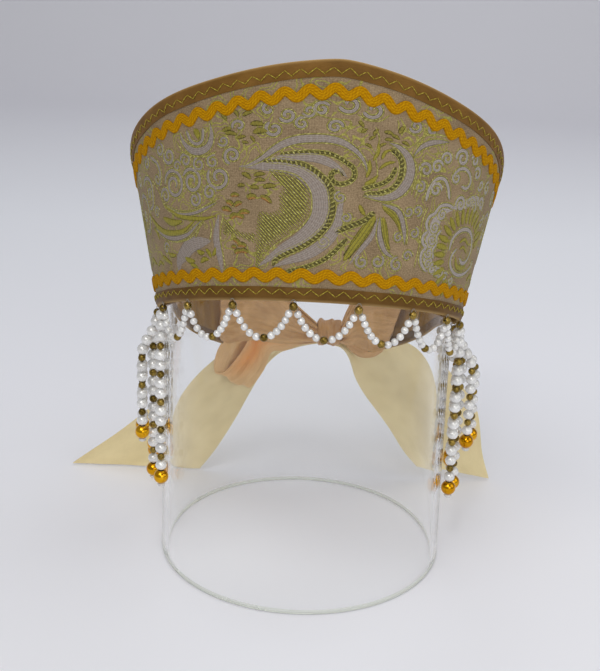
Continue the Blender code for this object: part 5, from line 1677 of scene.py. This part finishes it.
def strands(looks):
    """Side strands under their bronze beads, each ending in a gold ball."""
    pearl = turned(bead_profile(PEARL_BULGE, 1.0, 0.16, 10), 26)
    bronze = turned(bead_profile(1.0, 1.0, 0.22, 9), 22)
    ball = turned(ball_profile(BALL_RADIUS), 30)
    stopper = turned(bead_profile(*STOPPER), 22)
    cap = turned(((0.28 * BALL_RADIUS, 0.0), (0.44 * BALL_RADIUS, 0.05 * BALL_RADIUS),
                  (0.40 * BALL_RADIUS, 0.22 * BALL_RADIUS), (0.26 * BALL_RADIUS, 0.26 * BALL_RADIUS)), 24)
    up = np.array((0.0, 0.0, 1.0))
    for side, label in SIDE_NAMES.items():
        for number, angle in enumerate(PENDANT_ANGLES[side], 1):
            tail = "%s_%d" % (label, number)
            edge_bead("bead_pendant_" + tail, "pendant_bead_" + tail, angle, looks[1:])
    for name, side, bead, along, x, y, low, groups in STRANDS:
        path, carrier = strand_path(side, bead, along, x, y, low)
        lengths = lengths_of(path)
        total = lengths[-1]
        parts = []
        at = 0.0
        for pitch, is_bronze in strand_beads(total, groups):
            centre = point_at(path, lengths, at + 0.5 * pitch)
            ahead = point_at(path, lengths, at + 0.5 * pitch + 0.5 * MM)
            shape = bronze if is_bronze else pearl
            size = BEAD_FILL * pitch
            parts.append(placed(shape, centre, ahead - centre, 1 if is_bronze else 0,
                                size * (1.0 if is_bronze else RANDOM.uniform(*STRAND_PEARL_SIZES))))
            at += pitch
        end = path[-1]
        parts.append(placed(ball, end, up, 3, BALL_FULL))
        parts.append(placed(cap, end + up * (0.93 * BALL_RADIUS), up, 4))
        parts.append(placed(stopper, end - up * (BALL_RADIUS + STOPPER_STEP), up, 5))
        inner = path[lengths < total - 0.9 * BALL_RADIUS][::8]
        hook = carrier + (path[0] - carrier) * np.array((0.35, 0.7))[:, None]
        line = np.concatenate([hook, inner])
        parts.append(tube(line, THREAD_RADIUS, np.array((1.0, 0.0, 0.0)), 6, 2, tone=0.5))
        node = "strand_%s_%s" % (SIDE_NAMES[side], name)
        piece("pearl_" + node, parts, looks, "pearl", node, sharp=60.0)


def beadwork():
    thread = Look("bead_thread", (0.33, 0.30, 0.25), 0.7)
    thread.bump(thread.noise(thread.coordinates("Object"), 3000.0), 0.05 * MM)
    hole = Look("ball_collar", (0.02, 0.014, 0.006), 0.4, 0.6)
    hole.rough(hole.ramp(hole.noise(hole.coordinates("Object"), 900.0), (0.3, 0.3), (0.7, 0.55)))
    clear = Look("stopper_bead", (0.90, 0.90, 0.89), 0.12)
    clear.set(Transmission_Weight=0.3, IOR=1.3, Coat_Weight=0.5)
    clear.rough(clear.ramp(clear.noise(clear.coordinates("Object"), 900.0), (0.3, 0.08), (0.7, 0.2)))
    looks = [pearl_look("pearl_lustre", (0.73, 0.72, 0.70), (0.86, 0.855, 0.835)),
             bronze_look(),
             thread.material,
             metal_look("orange_gold", (0.56, 0.235, 0.004), (0.90, 0.48, 0.018), 0.09, 1.0, 160.0),
             hole.material,
             clear.material]
    swags(looks[:3])
    strands(looks)


# Satin ribbon


def between(rows, step):
    """Rows of a table taken closely along a smooth curve through its sections."""
    rows = np.asarray(rows, float)
    gaps = np.linalg.norm(np.diff(rows[:, :3], axis=0), axis=1) * MM
    padded = np.concatenate([[2 * rows[0] - rows[1]], rows, [2 * rows[-1] - rows[-2]]])
    made = []
    for index, gap in enumerate(gaps):
        made.append(curve_between(*padded[index:index + 4], max(int(gap / step), 3)))
    made.append(rows[-1:])
    return np.concatenate(made)


def satin_sheet(name, node, centres, acrosses, halves, folds, seed, look, cut, creased,
                pleat=SATIN_PLEAT_DEPTH, hollow=None):
    """Gathered satin: pleats that open out as the ribbon widens, and small soft creases.

    cut is the width that it was cut to, how it is held, what it rests on and what goes with it; only the
    width is used.
    """
    random = np.random.default_rng(seed)
    across = np.linspace(-1.0, 1.0, SATIN_ACROSS)
    along = tangents(centres)
    side = unit(acrosses)
    normal = unit(np.cross(along, side))
    length = lengths_of(centres)
    gathered = np.clip(1.0 - halves / (SATIN_FULL_HALF * MM), 0.0, 1.0)
    phases = random.uniform(0.0, 2.0 * math.pi, 6)
    drift = 0.5 * np.sin(length / (34.0 * MM) + phases[0])
    gather = np.sin(SATIN_PLEATS * math.pi * across[None] + phases[1] + drift[:, None])
    gather += 0.55 * np.sin(2.3 * SATIN_PLEATS * across[None] + phases[2] - 1.5 * drift[:, None])
    depth = pleat * MM * gathered ** 1.3
    wave = folds[:, None] * np.sin(math.pi * 1.5 * across)[None] + depth[:, None] * gather
    reach = halves[:, None] * across[None]
    for _ in range(SATIN_CREASE_COUNT):
        turn = random.uniform(-0.7, 0.7)
        size = random.uniform(0.4, 1.0) * creased[1] * MM
        phase = random.uniform(0.0, 2.0 * math.pi)
        height = random.uniform(0.3, 1.0) * creased[0] * MM
        wave = wave + height * np.sin((reach * math.cos(turn) + length[:, None] * math.sin(turn))
                                      * 2.0 * math.pi / size + phase)
    hollow_and_painted_shade = np.zeros(wave.shape)
    # The hollow dents the sheet, and the same mask lays the look's fold colour into it: painted orange
    # shade
    if hollow is not None:
        start, end, middle, wide, deep = hollow
        share = (length / length[-1] - start) / (end - start)
        window = np.sin(math.pi * np.clip(share, 0.0, 1.0))
        line = middle[0] + (middle[1] - middle[0]) * np.clip(share, 0.0, 1.0)
        hollow_and_painted_shade = window[:, None] * np.exp(-((across[None] - line[:, None]) / wide) ** 2)
        wave = wave + deep * MM * hollow_and_painted_shade
    points = centres[:, None] + side[:, None] * reach[..., None]
    points = points + normal[:, None] * wave[..., None]
    run = np.gradient(points, axis=0)
    rise = np.gradient(points, axis=1)
    face = unit(np.cross(run, rise))
    front = points + face * (0.5 * SATIN_THICK)
    back = points - face * (0.5 * SATIN_THICK)
    rings = np.concatenate([front, back[:, ::-1]], axis=1)
    flat = paired(length[:, None], across[None] * 0.5 * cut[0]) / MM
    part = closed(rings, np.concatenate([flat, flat[:, ::-1]], axis=1),
                  fold=np.concatenate([hollow_and_painted_shade, hollow_and_painted_shade[:, ::-1]], axis=1))
    thing = piece(name, [part], [look], "cream_ribbon", node, sharp=70.0)


def ribbon(name, node, rows, seed, look, cut, creased, **shape):
    """Loop or tail through the sections of a table."""
    fine = between(rows, SATIN_STEP)
    centres = fine[:, :3] * MM + GLASS_PLACE
    turn = np.radians(fine[:, 4])
    acrosses = np.stack([-np.sin(turn), np.zeros(len(turn)), np.cos(turn)], -1)
    satin_sheet(name, node, centres, acrosses, fine[:, 3] * MM, fine[:, 5] * MM, seed, look, cut,
                creased, **shape)


def tie(name, node, rows, side, seed, look, cut):
    """Ribbon from a wing end round the cylinder to the knot."""
    wing = on_band(side * WING_END, 0.0, MID_OFFSET) - GLASS_PLACE
    start = math.atan2(wing[0], wing[1])
    knot_edge = KNOT.x + side * (KNOT_HALF + TIE_END_GAP)
    end = math.asin(knot_edge / (rows[-1][1] * MM))
    start += side * TIE_LAP[side] / rows[0][1]
    shares = np.linspace(0.0, 1.0, 60)
    radius, height, half, fold = (blend(rows, column, shares) for column in (1, 2, 3, 4))
    half = half * (0.8 + 0.2 * np.clip(shares / 0.1, 0.0, 1.0) ** 0.5)
    around = start + (end - start) * shares
    centres = np.stack([radius * np.sin(around), radius * np.cos(around), height], -1)
    centres = centres * MM + GLASS_PLACE
    lean = -TIE_LEAN[side] * np.clip(1.0 - 2.0 * shares, 0.0, 1.0)[:, None]
    upright = np.array((0.0, 0.0, 1.0)) + lean * tangents(centres)
    satin_sheet(name, node, centres, upright, half * MM, fold * MM, seed, look, cut, TIE_CREASES)


def knot(look):
    """Knot of wrapped satin with slanting folds."""
    places = np.linspace(KNOT_SHAPE[0][0], KNOT_SHAPE[-1][0], 40)
    deep = blend(KNOT_SHAPE, 1, places)
    tall = blend(KNOT_SHAPE, 2, places)
    turn = np.linspace(0.0, 2.0 * math.pi, 72, endpoint=False)
    along = places[:, None]
    ridges = np.sin(0.95 * along + 0.7 * np.sin(turn)) + 0.5 * np.sin(1.9 * along - turn)
    swell = 1.0 + 0.045 * ridges
    rings = np.stack([np.broadcast_to(along, ridges.shape),
                      deep[:, None] * np.cos(turn)[None] * swell,
                      tall[:, None] * np.sin(turn)[None] * swell], -1) * MM
    rings = rings + np.array(KNOT) + GLASS_PLACE
    part = closed(rings, paired(turn * 8.0, along))
    return piece("ribbon_knot", [part], [look], "cream_ribbon", "bow_knot", sharp=70.0)


def ribbons():
    """Knot, loops, tails and ties; the random seed of each is its fourth value."""
    cream = satin_look("cream_satin", (0.72, 0.59, 0.315), (0.89, 0.75, 0.435), 0.42, wrinkled=0.12)
    # A paler copy of the cream satin for the right tail: painted light
    painted_light_cream = satin_look("painted_light_cream_satin", (0.78, 0.645, 0.350), (0.94, 0.805, 0.475), 0.42,
                        wrinkled=0.12)
    # Its fold colour is painted orange shade in the left loop's hollow
    peach = satin_look("peach_satin", (0.66, 0.395, 0.165), (0.92, 0.620, 0.300), 0.38,
                       (0.90, 0.37, 0.090), wrinkled=0.55)
    shaded = satin_look("shaded_satin", (0.42, 0.205, 0.070), (0.88, 0.555, 0.250), 0.38, wrinkled=0.8)
    # A darker copy of the peach satin for the knot: painted shade
    painted_shade_knot = satin_look("painted_shade_knot_satin", (0.30, 0.135, 0.042), (0.70, 0.400, 0.165), 0.38, wrinkled=0.9)
    made = knot(painted_shade_knot)
    on_knot = ["bow_knot"]
    ribbon("bow_left_loop", "bow_loop_left", LOOP_LEFT, 11, peach,
           (LOOP_WIDTH, "gathered", on_knot, [made]), LOOP_CREASES, pleat=0.45, hollow=LEFT_HOLLOW)
    ribbon("bow_right_loop", "bow_loop_right", LOOP_RIGHT, 12, shaded,
           (LOOP_WIDTH, "gathered", on_knot, ()), LOOP_CREASES, pleat=1.0)
    ribbon("ribbon_left_tail", "ribbon_tail_left", TAIL_LEFT, 13, cream,
           (LEFT_TAIL_WIDTH, "hung", on_knot, ()), TAIL_CREASES)
    ribbon("ribbon_right_tail", "ribbon_tail_right", TAIL_RIGHT, 14, painted_light_cream,
           (RIGHT_TAIL_WIDTH, "hung", on_knot, ()), TAIL_CREASES)
    sewn = (TIE_WIDTH, "gathered", ["crown_band", "glass_cylinder"], ())
    tie("ribbon_left_tie", "ribbon_tie_left", TIE_LEFT, -1, 15, shaded, sewn)
    tie("ribbon_right_tie", "ribbon_tie_right", TIE_RIGHT, 1, 16, shaded, sewn)


# Glass, room and camera


def glass():
    """Upturned glass: closed top, straight upper part and a foot that widens a little."""
    outer = GLASS_RADIUS
    inner = GLASS_RADIUS - GLASS_WALL
    foot = GLASS_FOOT_RADIUS
    ceiling = GLASS_HEIGHT - GLASS_TOP
    bend = np.linspace(0.0, 0.5 * math.pi, GLASS_BEND_STEPS)
    flare = np.linspace(0.0, 1.0, GLASS_FLARE_STEPS)

    def wall(radius, shares):
        """Wall from the foot of the straight part down to the rounded rim."""
        return [(radius + (foot - outer) * t ** GLASS_FLARE_POWER,
                 GLASS_STRAIGHT_FROM * (1.0 - t) + GLASS_ROUND * t) for t in shares]

    rows = [(0.0, GLASS_HEIGHT)]
    rows += [(outer - GLASS_ROUND * (1.0 - math.sin(t)),
              GLASS_HEIGHT - GLASS_ROUND * (1.0 - math.cos(t))) for t in bend]
    rows += wall(outer, flare)
    rim = 0.5 * GLASS_WALL
    rows += [(foot - rim + rim * math.cos(t), GLASS_ROUND * (1.0 - math.sin(t))) for t in bend[1:]]
    rows += [(foot - rim - rim * math.sin(t), GLASS_ROUND * (1.0 - math.cos(t))) for t in bend[1:]]
    rows += wall(inner, flare[::-1][1:])
    rows += [(inner - GLASS_ROUND * (1.0 - math.cos(t)),
              ceiling - GLASS_ROUND * (1.0 - math.sin(t))) for t in bend]
    rows += [(0.0, ceiling)]
    points, faces = turned(rows, GLASS_SIDES)
    # The thick foot gathers the light of the floor, so it looks greener than the wall
    parts = []
    for number, (low, high) in enumerate(((GLASS_ROUND, 1.0), (-1.0, GLASS_ROUND))):
        kept = []
        for block in faces:
            heights = points[block].mean(1)[:, 2]
            block = block[(heights > low) & (heights <= high)]
            if len(block):
                kept.append(block)
        parts.append({"points": points + GLASS_PLACE, "faces": kept, "material": number})
    looks = [glass_look(), foot_look()]
    stand = piece("glass_stand", parts, looks, "clear_glass", "glass_cylinder", sharp=50.0)
    # Lamps shine through it as above, so light that bounces off the floor passes it by as well
    stand.visible_diffuse = False


def room():
    """Pale floor that bends up into a backdrop, with painted falloff of light: lightest on the floor just
    behind the glass, a little darker toward the front and darker toward its top.
    """
    turn = np.linspace(0.0, 0.5 * math.pi, 24)
    outline = [(ROOM_NEAR, 0.0), (-0.8, 0.0), (0.0, 0.0), (0.5, 0.0)]
    outline += [(ROOM_FAR + ROOM_BEND * math.sin(t), ROOM_BEND * (1.0 - math.cos(t))) for t in turn]
    outline.append((ROOM_FAR + ROOM_BEND, ROOM_HIGH))
    outline = np.array(outline)
    width = np.linspace(-ROOM_HALF, ROOM_HALF, 9)
    points = np.zeros((len(outline), len(width), 3))
    points[..., 0] = width
    points[..., 1] = outline[:, None, 0]
    points[..., 2] = outline[:, None, 1]
    run = lengths_of(outline) + ROOM_NEAR
    part = {"points": points.reshape(-1, 3), "faces": grid_faces(*points.shape[:2]), "material": 0,
            "uv": paired(width, run[:, None]).reshape(-1, 2)}
    paper = Look("backdrop_paper", (0.8, 0.8, 0.8), 0.85)
    place = paper.coordinates("UV")
    split = paper.nodes.new("ShaderNodeSeparateXYZ")
    paper.links.new(place, split.inputs["Vector"])
    reach = paper.calculate("MULTIPLY", paper.calculate("ADD", split.outputs["Y"], 1.0), 0.2)
    grain = paper.noise(place, 6.0, 3.0)
    # Painted falloff of the lamps' light along the floor and up the backdrop
    tone = paper.ramp(reach, (0.0, (0.86, 0.86, 0.89)), (0.24, (0.90, 0.91, 0.97)),
                      (0.34, (0.92, 0.94, 1.0)), (0.50, (0.81, 0.81, 0.87)), (0.75, (0.79, 0.79, 0.82)))
    paper.colour(paper.mix(0.04, tone, grain, "OVERLAY"))
    thing = mesh_object("floor_and_backdrop", [part], [paper.material])


def lamp(name, place, aim, width, power, colour):
    light = bpy.data.lights.new(name, "AREA")
    light.shape = "SQUARE"
    light.size = width
    light.energy = power
    light.color = colour
    thing = bpy.data.objects.new(name, light)
    thing.location = place
    thing.rotation_euler = (Vector(aim) - Vector(place)).to_track_quat("-Z", "Y").to_euler()
    bpy.context.scene.collection.objects.link(thing)


def lights():
    for values in LAMPS:
        lamp(*values)
    world = bpy.data.worlds.new("soft_room")
    world.use_nodes = True
    sky = world.node_tree.nodes["Background"]
    sky.inputs["Color"].default_value = SKY_COLOUR
    sky.inputs["Strength"].default_value = SKY_STRENGTH
    bpy.context.scene.world = world


def camera():
    """Camera at the photograph's angle."""
    ahead = Vector((math.sin(CAMERA_YAW) * math.cos(CAMERA_PITCH),
                    math.cos(CAMERA_YAW) * math.cos(CAMERA_PITCH), -math.sin(CAMERA_PITCH)))
    right = ahead.cross(Vector((0.0, 0.0, 1.0))).normalized()
    up = right.cross(ahead)
    level = Matrix((right, up, -ahead)).transposed()
    roll = Matrix.Rotation(CAMERA_ROLL, 3, "Z")
    data = bpy.data.cameras.new("view")
    data.lens = CAMERA_LENS
    data.sensor_width = CAMERA_SENSOR
    data.clip_start = 0.01
    thing = bpy.data.objects.new("view", data)
    thing.matrix_world = Matrix.Translation(CAMERA_PLACE + GLASS_AXIS) @ (level @ roll).to_4x4()
    bpy.context.scene.collection.objects.link(thing)
    bpy.context.scene.camera = thing


def build():
    camera()
    lights()
    room()
    glass()
    crown_cloth()
    crown_lining()
    lining_seam()
    figures()
    binding("binding_top", "top_binding", top_height, -1.0, TOP_BINDING_WIDTH, TOP_STITCH)
    binding("binding_bottom", "bottom_binding", low_height, 1.0, BOTTOM_BINDING_WIDTH, BOTTOM_STITCH,
            BOTTOM_BINDING_PAINTED_SHADE)
    stitching()
    rickrack("rickrack_upper", "upper_rickrack", upper_height, UPPER_SWING, UPPER_PHASE)
    rickrack("rickrack_lower", "lower_rickrack", lower_height, LOWER_SWING, LOWER_PHASE)
    beadwork()
    ribbons()


build()
bpy.context.scene.view_settings.view_transform = "Standard"
